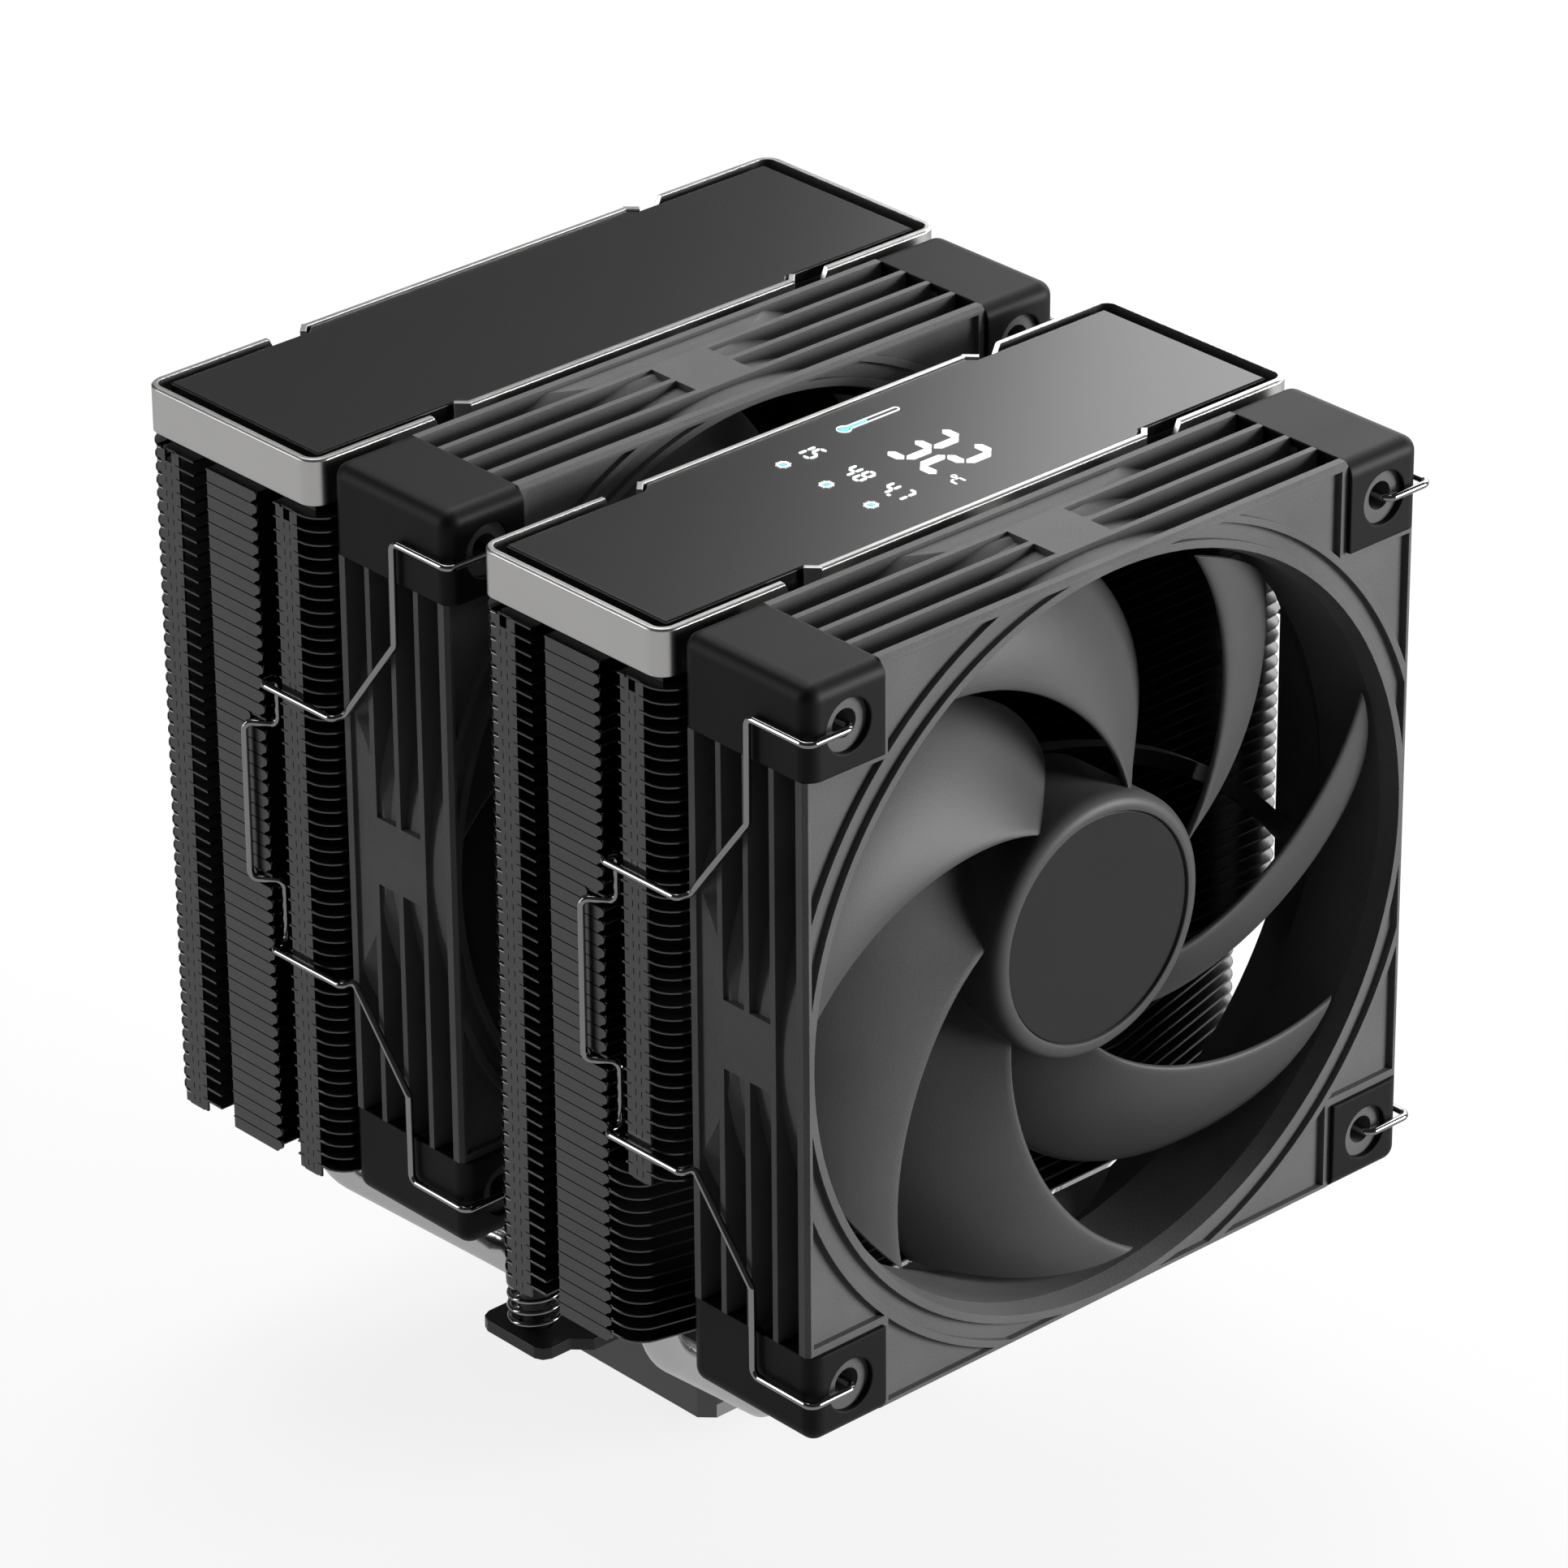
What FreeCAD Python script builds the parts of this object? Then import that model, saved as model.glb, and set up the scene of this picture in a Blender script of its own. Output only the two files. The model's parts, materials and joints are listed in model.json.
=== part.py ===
import FreeCAD, Part
import math
import os
import re
import Sketcher
from FreeCAD import Rotation, Vector

# Dual-tower processor cooler with two 120 mm fans.
# Frame: origin at the centre of the cold plate's lower face, +Z up, X across the width,
# and the front fan facing -Y. Millimetres.

# ---------------------------------------------------------------------------
# Driving dimensions
# ---------------------------------------------------------------------------
SIZES = {
    # fan: a square frame between four rubber corner pads
    "fan_side": 120.0,
    "fan_depth": 26.0,
    "frame_depth": 24.4,
    "flange_thickness": 1.9,
    "rib_thickness": 1.06,
    "side_plate_width": 11.0,
    "edge_chamfer": 0.6,
    "pad_side": 14.3,
    "pad_round": 2.4,
    "hole_pitch": 105.0,
    "hole_radius": 2.2,
    "boss_radius": 4.2,
    "boss_recess": 1.0,
    "web_thickness": 4.0,
    "duct_radius": 57.6,
    "duct_outer_radius": 59.2,
    "mouth_radius": 58.5,
    "mouth_depth": 3.0,
    "crescent_inner_radius": 59.7,
    "crescent_outer_radius": 62.3,
    "ring_outer_radius": 63.4,
    "pocket_depth": 1.0,
    "rim_width": 1.1,
    "socket_wall": 1.2,
    # fan motor and rotor
    "hub_radius": 20.6,
    "hub_wall": 1.6,
    "hub_front": 4.0,
    "hub_back": 21.4,
    "label_radius": 17.7,
    "label_recess": 0.8,
    "label_thickness": 0.4,
    "blade_tip_radius": 56.4,
    "blade_thickness": 1.5,
    "blade_count": 7.0,
    "yoke_wall": 1.0,
    "magnet_wall": 1.8,
    "rotor_core_front": 7.4,
    "rotor_core_back": 20.6,
    "shaft_radius": 1.5,
    "shaft_back": 21.6,
    "bearing_radius": 3.5,
    "bearing_clearance": 0.05,
    "bearing_front": 9.6,
    "bearing_back": 19.8,
    "tube_radius": 4.6,
    "tube_front": 9.2,
    "motor_base_thickness": 3.0,
    "strut_width": 2.4,
    "flare_front": 16.0,
    "flare_radius": 62.6,
    "flare_side": 115.6,
    "flare_wall": 1.6,
    "stator_radius": 15.2,
    "stator_front": 11.6,
    "stator_back": 17.6,
    "stator_poles": 9.0,
    # place of the fans
    "front_fan_y": -84.5,
    "middle_fan_y": -9.4,
    "fan_axis_z": 100.4,
    # fin stacks
    "fin_width": 123.8,
    "fin_depth": 40.6,
    "fin_thickness": 0.4,
    "fin_pitch": 2.17,
    "fin_count": 51.0,
    "fin_bottom": 40.2,
    "fin_corner": 4.5,
    "front_tower_y": -37.5,
    "rear_tower_y": 37.6,
    "relief_height": 72.0,
    # base
    "base_width": 46.6,
    "base_depth": 41.4,
    "base_height": 13.4,
    "base_chamfer": 2.1,
    "base_tap_depth": 4.0,
    "plate_thickness": 2.3,
    "bar_thickness": 2.0,
    "bar_half_length": 44.3,
    "screw_spacing": 78.4,
    # heat pipes
    "pipe_radius": 3.0,
    "pipe_height": 4.9,
    "pipe_pitch": 7.0,
    "pipe_shoulder": 31.4,
    # top covers
    "cover_width": 123.9,
    "cover_depth": 38.7,
    "cover_height": 7.3,
    "cover_top": 160.0,
    "cover_wall": 1.0,
    "cover_corner": 3.0,
    "slot_depth": 4.4,
    "top_plate_drop": 0.2,
    "top_plate_thickness": 2.0,
    "tray_bottom": 150.9,
    "tray_ledge": 152.7,
    "tray_floor": 153.7,
    "tray_wall": 1.4,
    "post_radius": 4.2,
    "magnet_radius": 3.0,
    "magnet_thickness": 1.5,
    # wire clips and captive screws
    "wire_radius": 0.55,
    "wire_bend": 1.3,
    "wire_gap": 0.35,
    "thread_radius": 1.25,
    "thread_top": 19.0,
    "screw_foot": 12.2,
    "shank_radius": 2.3,
    "neck_radius": 1.9,
    "spring_radius": 4.0,
    "spring_wire": 0.4,
    "spring_top": 23.4,
}

doc = FreeCAD.newDocument("cpu_tower_cooler")
sheet = doc.addObject("Spreadsheet::Sheet", "Sizes")
for row, (alias, amount) in enumerate(SIZES.items(), start=1):
    sheet.set(f"A{row}", alias)
    sheet.set(f"B{row}", str(amount))
    sheet.setAlias(f"B{row}", alias)
doc.recompute()

WORD = re.compile(r"[a-z_][a-z_0-9]*")
NODES = []


# ---------------------------------------------------------------------------
# Helpers
# ---------------------------------------------------------------------------
def size(alias):
    """A driving dimension, read from the sheet."""
    return float(sheet.get(alias))


def formula(text):
    """The expression for a formula written with the sheet's aliases."""
    return WORD.sub(lambda found: "Sizes." + found.group(0), str(text))


def amount_of(text):
    """The present value of such a formula."""
    numbers = WORD.sub(lambda found: repr(size(found.group(0))), str(text))
    return FreeCAD.Units.Quantity(numbers).Value


def bind(thing, prop, text):
    thing.setExpression(prop, formula(text))


def place(thing, corner, rotation=None):
    """Bind the object's position to three formulas."""
    thing.Placement = FreeCAD.Placement(Vector(0, 0, 0), rotation or Rotation())
    for letter, text in zip("xyz", corner):
        bind(thing, "Placement.Base." + letter, text)
    return thing


def node(thing, label):
    """Mark an object as one of the object's real pieces."""
    thing.Label = label
    NODES.append(thing)
    return thing


def box(name, sides, corner):
    made = doc.addObject("Part::Box", name)
    for prop, text in zip(("Length", "Width", "Height"), sides):
        bind(made, prop, text)
    return place(made, corner)


def centred_box(name, sides, middle):
    corner = [f"({middle[i]}) - ({sides[i]}) / 2" for i in range(3)]
    return box(name, sides, corner)


ALONG_Y = Rotation(Vector(1, 0, 0), -90)


def cylinder(name, radius, height, start, along_y=True):
    made = doc.addObject("Part::Cylinder", name)
    bind(made, "Radius", radius)
    bind(made, "Height", height)
    return place(made, start, ALONG_Y if along_y else None)


def fuse(name, *shapes):
    made = doc.addObject("Part::MultiFuse", name)
    made.Shapes = list(shapes)
    return made


def cut(name, base, *tools):
    made = doc.addObject("Part::Cut", name)
    made.Base = base
    made.Tool = tools[0] if len(tools) == 1 else fuse(name + "_tools", *tools)
    return made


def group(name, *shapes):
    """Separate solids held as one node."""
    made = doc.addObject("Part::Compound", name)
    made.Links = list(shapes)
    return made


def feature(name, shape):
    made = doc.addObject("Part::Feature", name)
    made.Shape = shape
    return made


def sketch(body, name, role, points=(), circles=()):
    """A closed outline of formula points, with round holes, on one of the body's planes."""
    made = body.newObject("Sketcher::SketchObject", name)
    plane = [item for item in body.Origin.OriginFeatures if item.Role == role][0]
    made.AttachmentSupport = [(plane, "")]
    made.MapMode = "FlatFace"
    corners = [Vector(amount_of(x), amount_of(y), 0) for x, y in points]
    count = len(corners)
    for i, corner in enumerate(corners):
        made.addGeometry(Part.LineSegment(corner, corners[(i + 1) % count]), False)
    for i in range(count):
        made.addConstraint(Sketcher.Constraint("Coincident", i, 2, (i + 1) % count, 1))
    for i, point in enumerate(points):
        pin_point(made, i, 1, point)
    for x, y, radius in circles:
        centre = Vector(amount_of(x), amount_of(y), 0)
        index = made.addGeometry(Part.Circle(centre, Vector(0, 0, 1), amount_of(radius)), False)
        held = made.addConstraint(Sketcher.Constraint("Radius", index, amount_of(radius)))
        made.setExpression(f"Constraints[{held}]", formula(radius))
        pin_point(made, index, 3, (x, y))
    return made


def pin_point(outline, index, end, point):
    for kind, text in zip(("DistanceX", "DistanceY"), point):
        rule = Sketcher.Constraint(kind, -1, 1, index, end, amount_of(text))
        held = outline.addConstraint(rule)
        outline.setExpression(f"Constraints[{held}]", formula(text))


def pad(body, name, profile, length):
    made = body.newObject("PartDesign::Pad", name)
    made.Profile = profile
    bind(made, "Length", length)
    return made


def pocket_through(body, name, profile):
    made = body.newObject("PartDesign::Pocket", name)
    made.Profile = profile
    made.Type = "ThroughAll"
    made.Midplane = True
    return made


def rectangle(half_x, half_y):
    return [(f"-({half_x})", f"-({half_y})"), (half_x, f"-({half_y})"),
            (half_x, half_y), (f"-({half_x})", half_y)]


def mirrored_outline(quarter):
    """A closed outline from its corners in the first quadrant, listed from +X round to +Y."""
    right_up = list(quarter)
    left_up = [(f"-({x})", y) for x, y in reversed(quarter)]
    left_down = [(f"-({x})", f"-({y})") for x, y in quarter]
    right_down = [(x, f"-({y})") for x, y in reversed(quarter)]
    return right_up + left_up + left_down + right_down


def bent_rod(points, radius, bend):
    """A round rod along straight runs joined by tangent arcs of one bend radius (or one each)."""
    bends = bend if isinstance(bend, list) else [bend] * (len(points) - 2)
    edges = []
    run_start = points[0]
    for i, turn_radius in enumerate(bends, start=1):
        before = (points[i - 1] - points[i]).normalize()
        after = (points[i + 1] - points[i]).normalize()
        half_turn = (math.pi - before.getAngle(after)) / 2
        reach = turn_radius * math.tan(half_turn)
        enter = points[i] + before * reach
        leave = points[i] + after * reach
        middle_way = (before + after).normalize()
        top = points[i] + middle_way * (turn_radius / math.cos(half_turn) - turn_radius)
        edges.append(Part.makeLine(run_start, enter))
        edges.append(Part.Arc(enter, top, leave).toShape())
        run_start = leave
    edges.append(Part.makeLine(run_start, points[-1]))
    path = Part.Wire(edges)
    start_way = points[1] - points[0]
    section = Part.Wire(Part.makeCircle(radius, points[0], start_way))
    return path.makePipe(Part.Face(section))


def upright_edges(solid):
    """The solid's straight edges that run along Z."""
    found = []
    for edge in solid.Edges:
        if len(edge.Vertexes) == 2:
            way = edge.Vertexes[1].Point - edge.Vertexes[0].Point
            if math.hypot(way.x, way.y) < 1e-6:
                found.append(edge)
    return found


def rounded_block(width, depth, height, corner, centre):
    """A block with rounded upright corners, standing on centre."""
    block = Part.makeBox(width, depth, height, centre - Vector(width / 2, depth / 2, 0))
    return block.makeFillet(corner, upright_edges(block))


# ---------------------------------------------------------------------------
# Base: cold plate, base block, heat pipes, mounting bar
# ---------------------------------------------------------------------------
PIPES = 6
PIPE_ROWS = [f"pipe_pitch * {i - (PIPES - 1) / 2}" for i in range(PIPES)]


def make_cold_plate():
    body = doc.addObject("PartDesign::Body", "cold_plate")
    outline = rectangle("base_width / 2 - base_chamfer", "base_depth / 2")
    pad(body, "cold_plate_pad", sketch(body, "cold_plate_outline", "XY_Plane", outline),
        "plate_thickness")
    doc.recompute()
    grooves = sketch(body, "cold_plate_grooves", "XZ_Plane",
                     circles=[(x, "pipe_height", "pipe_radius") for x in PIPE_ROWS])
    pocket_through(body, "cold_plate_groove_cut", grooves)
    return node(body, "cold_plate")


def make_base_block():
    body = doc.addObject("PartDesign::Body", "base_block_body")
    corners = mirrored_outline([("base_width / 2", "base_depth / 2 - base_chamfer"),
                                ("base_width / 2 - base_chamfer", "base_depth / 2")])
    pad(body, "base_block_pad", sketch(body, "base_block_outline", "XY_Plane", corners),
        "base_height")
    doc.recompute()
    half_channel = "(base_width / 2 - base_chamfer)"
    channel = [(f"-{half_channel}", "-1"), (half_channel, "-1"),
               (half_channel, "plate_thickness"), (f"-{half_channel}", "plate_thickness")]
    pocket_through(body, "base_block_channel",
                   sketch(body, "base_block_channel_outline", "XZ_Plane", channel))
    doc.recompute()
    grooves = sketch(body, "base_block_grooves", "XZ_Plane",
                     circles=[(x, "pipe_height", "pipe_radius") for x in PIPE_ROWS])
    pocket_through(body, "base_block_groove_cut", grooves)
    doc.recompute()
    taps = [cylinder(f"base_block_tap_{name}", "1.25", "base_tap_depth",
                     (12 * side, "0", "base_height - base_tap_depth"), along_y=False)
            for name, side in (("left", -1), ("right", 1))]
    return node(cut("base_block_tapped", body, *taps), "base_block")


# Where each pipe stands in its tower: across the width, and away from the base's middle.
PIPE_STANDS = [(-47.6, 0.0), (-29.0, 9.0), (-11.0, -7.0), (11.0, -7.0), (29.0, 9.0), (47.6, 0.0)]
# For each pipe: how far from the base's middle it starts to climb, and its bend radius there.
PIPE_CLIMBS = [(30.0, 9.0), (34.0, 11.0), (27.5, 7.0), (27.5, 7.0), (34.0, 11.0), (30.0, 9.0)]
PIPE_BEND_AT_SHOULDER = 12.0


def pipe_stand(index, tower_y):
    """The upright stretch of one pipe inside one tower."""
    x, outward = PIPE_STANDS[index]
    side = math.copysign(1.0, tower_y)
    return Vector(x, tower_y + side * outward, 0)


def make_heat_pipes():
    top = size("fin_bottom") + size("fin_pitch") * size("fin_count")
    for i, row_text in enumerate(PIPE_ROWS):
        row_x = amount_of(row_text)
        front = pipe_stand(i, size("front_tower_y"))
        rear = pipe_stand(i, size("rear_tower_y"))
        low = size("pipe_height")
        shoulder = size("pipe_shoulder")
        climb, climb_bend = PIPE_CLIMBS[i]
        points = [Vector(front.x, front.y, top), Vector(front.x, front.y, shoulder),
                  Vector(row_x, -climb, low), Vector(row_x, climb, low),
                  Vector(rear.x, rear.y, shoulder), Vector(rear.x, rear.y, top)]
        bends = [PIPE_BEND_AT_SHOULDER, climb_bend, climb_bend, PIPE_BEND_AT_SHOULDER]
        rod = bent_rod(points, size("pipe_radius"), bends)
        node(feature(f"heat_pipe_{i + 1}", rod), f"heat_pipe_{i + 1}")


def make_mounting_bar():
    body = doc.addObject("PartDesign::Body", "mounting_bar")
    outline = mirrored_outline([("bar_half_length", "5.4"), ("bar_half_length - 0.6", "6.7"),
                                ("bar_half_length - 1.9", "7.3"), ("38.6", "7.3"), ("36.1", "9.8")])
    holes = [(side + "screw_spacing / 2", "0", "2.7") for side in ("-", "")]
    holes += [(side + "12", "0", "1.6") for side in ("-", "")]
    pad(body, "mounting_bar_pad",
        sketch(body, "mounting_bar_outline", "XY_Plane", outline, holes), "bar_thickness")
    place(body, ("0", "0", "base_height"))
    return node(body, "mounting_bar")


def make_bar_screws():
    screws = []
    for side, name in ((-1, "left"), (1, "right")):
        shank = cylinder(f"bar_screw_shank_{name}", "1.25", "4", (12 * side, "0", "base_height - 3.4"),
                         along_y=False)
        shaft = cylinder(f"bar_screw_neck_{name}", "1.5", "bar_thickness",
                         (12 * side, "0", "base_height"), along_y=False)
        head = doc.addObject("Part::Sphere", f"bar_screw_head_{name}")
        bind(head, "Radius", "2.9")
        place(head, (12 * side, "0", "base_height + bar_thickness - 1.1"))
        trim = centred_box(f"bar_screw_trim_{name}", ("8", "8", "4"),
                           (12 * side, "0", "base_height + bar_thickness - 2"))
        dome = cut(f"bar_screw_dome_{name}", head, trim)
        slot = centred_box(f"bar_screw_slot_{name}", ("4.4", "0.7", "1.6"),
                           (12 * side, "0", "base_height + bar_thickness + 1.4"))
        cross = centred_box(f"bar_screw_cross_{name}", ("0.7", "4.4", "1.6"),
                            (12 * side, "0", "base_height + bar_thickness + 1.4"))
        whole = fuse(f"bar_screw_whole_{name}", shank, shaft, dome)
        screws.append(cut(f"bar_screw_{name}", whole, slot, cross))
    return node(group("bar_screws", *screws), "bar_screws")


# ---------------------------------------------------------------------------
# Fin stacks
# ---------------------------------------------------------------------------
# Stretches along the tower's depth, from its middle: the folded tabs and the two grooves.
TAB_STRIPS = [(-15.4, -10.6), (-5.0, 5.2), (11.7, 16.8)]
PANEL_BEHIND_HANDLE = (-2.7, 5.2)
CLIP_GROOVE = (-10.0, -6.1)
CLIP_GROOVE_DEPTH = 2.9
REAR_GROOVE = (5.4, 8.3)
REAR_GROOVE_DEPTH = 3.2
RELIEF_SLOPE = 0.273
RELIEF_FOOT_X = 27.0
# Fins whose panel tabs stand further back, because a clip's handle passes out below them.
HANDLE_FINS = (33, 21)


def fin_shape(tower_y, relieved, behind_handle=False):
    """One fin at z = 0 with its folded side tabs hanging below it."""
    width = size("fin_width")
    depth = size("fin_depth")
    thick = size("fin_thickness")
    half = width / 2
    plate = rounded_block(width, depth, thick, size("fin_corner"), Vector(0, tower_y, 0))
    strips = list(TAB_STRIPS)
    if behind_handle:
        strips[1] = PANEL_BEHIND_HANDLE
    grooves = [(CLIP_GROOVE, CLIP_GROOVE_DEPTH), (REAR_GROOVE, REAR_GROOVE_DEPTH)]
    if relieved:
        strips = strips[1:]
        grooves = grooves[1:]
        plate = cut_relief(plate, tower_y, half, thick)
    cutters = []
    for (low, high), reach in grooves:
        for side in (-1, 1):
            start = Vector(side * (half - reach / 2) - reach, tower_y + low, -1)
            cutters.append(Part.makeBox(2 * reach, high - low, thick + 2,
                                        start + Vector(side * reach / 2, 0, 0)))
    for i in range(PIPES):
        stand = pipe_stand(i, tower_y)
        cutters.append(Part.makeCylinder(size("pipe_radius"), thick + 2, stand - Vector(0, 0, 1)))
    plate = plate.cut(cutters)
    drop = size("fin_pitch") - thick - 0.04
    tabs = []
    for low, high in strips:
        for side in (-1, 1):
            start = Vector(side * half - (thick if side > 0 else 0), tower_y + low, -drop)
            tabs.append(Part.makeBox(thick, high - low, drop + thick, start))
    return plate.fuse(tabs).removeSplitter()


def cut_relief(plate, tower_y, half, thick):
    """Slant the front corners back, to clear tall parts beside the processor."""
    front = tower_y - size("fin_depth") / 2
    rise = (half + 8 - RELIEF_FOOT_X) * RELIEF_SLOPE
    for side in (-1, 1):
        corners = [Vector(side * RELIEF_FOOT_X, front, -1), Vector(side * (half + 8), front + rise, -1),
                   Vector(side * (half + 8), front - 2, -1), Vector(side * RELIEF_FOOT_X, front - 2, -1)]
        wedge = Part.Face(Part.makePolygon(corners + corners[:1])).extrude(Vector(0, 0, thick + 2))
        plate = plate.cut(wedge)
    sharp = []
    for edge in upright_edges(plate):
        point = edge.Vertexes[0].Point
        if abs(abs(point.x) - half) < 0.01 and point.y < tower_y - size("fin_corner"):
            sharp.append(edge)
    return plate.makeFillet(size("fin_corner"), sharp)


def make_fin_stack(label, tower_y, has_relief):
    full = fin_shape(tower_y, False)
    relieved = fin_shape(tower_y, True) if has_relief else full
    behind_handle = fin_shape(tower_y, False, behind_handle=True)
    fins = []
    for k in range(int(size("fin_count"))):
        height = size("fin_bottom") + size("fin_pitch") * (k + 1) - size("fin_thickness")
        kind = relieved if height < size("relief_height") else full
        if k in HANDLE_FINS:
            kind = behind_handle
        fin = kind.copy()
        fin.translate(Vector(0, 0, height))
        fins.append(fin)
    return node(feature(label, Part.makeCompound(fins)), label)


# ---------------------------------------------------------------------------
# Fan: frame, pads, motor and rotor, made once about the fan's axis and placed twice
# ---------------------------------------------------------------------------
FRAME_FRONT = "(fan_depth - frame_depth) / 2"
FRAME_BACK = "(fan_depth + frame_depth) / 2"
SLOT_WIDTH = "(frame_depth - 2 * flange_thickness - 3 * rib_thickness) / 4"
SLOT_ROWS = 4
CORNERS = [(-1, 1), (1, 1), (-1, -1), (1, -1)]


def disc(name, radius, front, back):
    return cylinder(name, radius, f"({back}) - ({front})", ("0", front, "0"))


def tube(name, outer, inner, front, back):
    return cut(name, disc(name + "_outer", outer, front, back), disc(name + "_bore", inner, front, back))


def corner_boxes(name, side, front, back):
    boxes = []
    for i, (sx, sz) in enumerate(CORNERS):
        middle = (f"{sx} * (fan_side - ({side})) / 2", f"(({front}) + ({back})) / 2",
                  f"{sz} * (fan_side - ({side})) / 2")
        boxes.append(centred_box(f"{name}_{i}", (side, f"({back}) - ({front})", side), middle))
    return boxes


def hole_cylinders(name, radius, front, back):
    made = []
    for i, (sx, sz) in enumerate(CORNERS):
        start = (f"{sx} * hole_pitch / 2", front, f"{sz} * hole_pitch / 2")
        made.append(cylinder(f"{name}_{i}", radius, f"({back}) - ({front})", start))
    return made


def side_slots():
    """The four rows of slots that run round the frame between the corners."""
    tools = []
    for row in range(SLOT_ROWS):
        front = f"({FRAME_FRONT} + flange_thickness + {row} * ({SLOT_WIDTH} + rib_thickness))"
        middle_y = f"{front} + {SLOT_WIDTH} / 2"
        length = "fan_side - 2 * pad_side"
        flat = centred_box(f"slot_across_{row}", (length, SLOT_WIDTH, "fan_side + 10"), ("0", middle_y, "0"))
        tall = centred_box(f"slot_upright_{row}", ("fan_side + 10", SLOT_WIDTH, length), ("0", middle_y, "0"))
        kept = [disc(f"slot_duct_{row}", "duct_outer_radius", f"{front} - 1", f"{front} + {SLOT_WIDTH} + 1")]
        if row in (1, 2):
            wide = (("side_plate_width", "fan_side + 20"), ("fan_side + 20", "side_plate_width"))
            for i, (x_side, z_side) in enumerate(wide):
                kept.append(centred_box(f"slot_plate_{row}_{i}", (x_side, f"{SLOT_WIDTH} + 2", z_side),
                                        ("0", middle_y, "0")))
        tools.append(cut(f"slot_row_{row}", fuse(f"slot_cross_{row}", flat, tall), *kept))
    return tools


def face_pockets(name, front, back):
    """Shallow recesses in a flange: long crescents beside the duct and triangles by the pads."""
    inside = "fan_side - 2 * rim_width"
    middle = ("0", f"(({front}) + ({back})) / 2", "0")
    deep = f"({back}) - ({front})"
    ring = tube(f"{name}_ring", "crescent_outer_radius", "crescent_inner_radius", front, back)
    window = centred_box(f"{name}_window", (inside, deep, inside), middle)
    crescents = doc.addObject("Part::MultiCommon", f"{name}_crescents")
    crescents.Shapes = [ring, window]
    sheet_box = centred_box(f"{name}_sheet", (inside, deep, inside), middle)
    kept = [disc(f"{name}_inner", "ring_outer_radius", front, back)]
    kept += corner_boxes(f"{name}_corner", "pad_side + socket_wall", front, back)
    triangles = cut(f"{name}_triangles", sheet_box, *kept)
    return [crescents, triangles]


def rear_flare(name, wall, side):
    """The cone in which the duct opens out toward the corners at the back, kept inside a square."""
    height = f"({FRAME_BACK} - flare_front)"
    cone = doc.addObject("Part::Cone", f"{name}_cone")
    bind(cone, "Radius1", f"duct_radius + {wall}")
    bind(cone, "Radius2", f"flare_radius + {wall}")
    bind(cone, "Height", height)
    place(cone, ("0", "flare_front", "0"), ALONG_Y)
    window = centred_box(f"{name}_window", (side, height, side), ("0", f"flare_front + {height} / 2", "0"))
    kept = doc.addObject("Part::MultiCommon", name)
    kept.Shapes = [cone, window]
    return kept


def make_frame_master():
    block = centred_box("frame_block", ("fan_side", "frame_depth", "fan_side"),
                        ("0", "fan_depth / 2", "0"))
    doc.recompute()
    bevelled = doc.addObject("Part::Chamfer", "frame_bevelled")
    bevelled.Base = block
    chosen = []
    for number, edge in enumerate(block.Shape.Edges, start=1):
        if abs(edge.Vertexes[0].Point.y - edge.Vertexes[1].Point.y) < 1e-6:
            chosen.append((number, size("edge_chamfer"), size("edge_chamfer")))
    bevelled.Edges = chosen
    tools = [disc("duct_bore", "duct_radius", "0", "fan_depth")]
    mouth = doc.addObject("Part::Cone", "duct_mouth")
    bind(mouth, "Radius1", "mouth_radius")
    bind(mouth, "Radius2", "duct_radius")
    bind(mouth, "Height", "mouth_depth")
    place(mouth, ("0", FRAME_FRONT, "0"), ALONG_Y)
    tools.append(mouth)
    tools += side_slots()
    tools += corner_boxes("pad_socket", "pad_side", "0", "fan_depth")
    tools += face_pockets("front_pocket", FRAME_FRONT, f"{FRAME_FRONT} + pocket_depth")
    tools += face_pockets("rear_pocket", f"{FRAME_BACK} - pocket_depth", FRAME_BACK)
    pierced = cut("frame_pierced", bevelled, *tools)
    flare_wall = rear_flare("flare_outside", "flare_wall", "fan_side - 2 * edge_chamfer")
    walled = fuse("frame_walled", pierced, flare_wall)
    shell = cut("frame_shell", walled, rear_flare("flare_inside", "0", "flare_side"))
    webs = []
    web_front = "(fan_depth - web_thickness) / 2"
    web_back = "(fan_depth + web_thickness) / 2"
    for i, (sx, sz) in enumerate(CORNERS):
        side = "pad_side - 1.2"
        middle = (f"{sx} * ((fan_side - pad_side) / 2 - 0.6)", "fan_depth / 2",
                  f"{sz} * ((fan_side - pad_side) / 2 - 0.6)")
        webs.append(centred_box(f"corner_web_{i}", (side, f"{web_back} - {web_front}", side), middle))
    bosses = hole_cylinders("corner_boss", "boss_radius", "boss_recess", "fan_depth - boss_recess")
    base = disc("motor_base", "hub_radius", f"{FRAME_BACK} - motor_base_thickness", FRAME_BACK)
    housing = disc("bearing_housing", "tube_radius", "tube_front", f"{FRAME_BACK} - 1")
    solid = fuse("frame_solid", shell, base, housing, *webs, *bosses, *make_struts())
    holes = hole_cylinders("corner_hole", "hole_radius", "0", "fan_depth")
    bore = disc("bearing_bore", "bearing_radius", "tube_front - 1", f"{FRAME_BACK} - motor_base_thickness")
    lead_exit = centred_box("lead_exit", ("5", "2.4", "4"), ("-16", f"{FRAME_BACK} - 1.2", "-(fan_side / 2)"))
    return cut("fan_frame_master", solid, bore, lead_exit, *holes)


STRUTS = 4
# The first strut's outer edge: an arc about this point of the rear face, between these angles.
STRUT_ARC_CENTRE = (-13.2, -72.9)
STRUT_ARC_RADIUS = 94.4
STRUT_ARC_SPAN = (80.0, 36.0)


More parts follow.
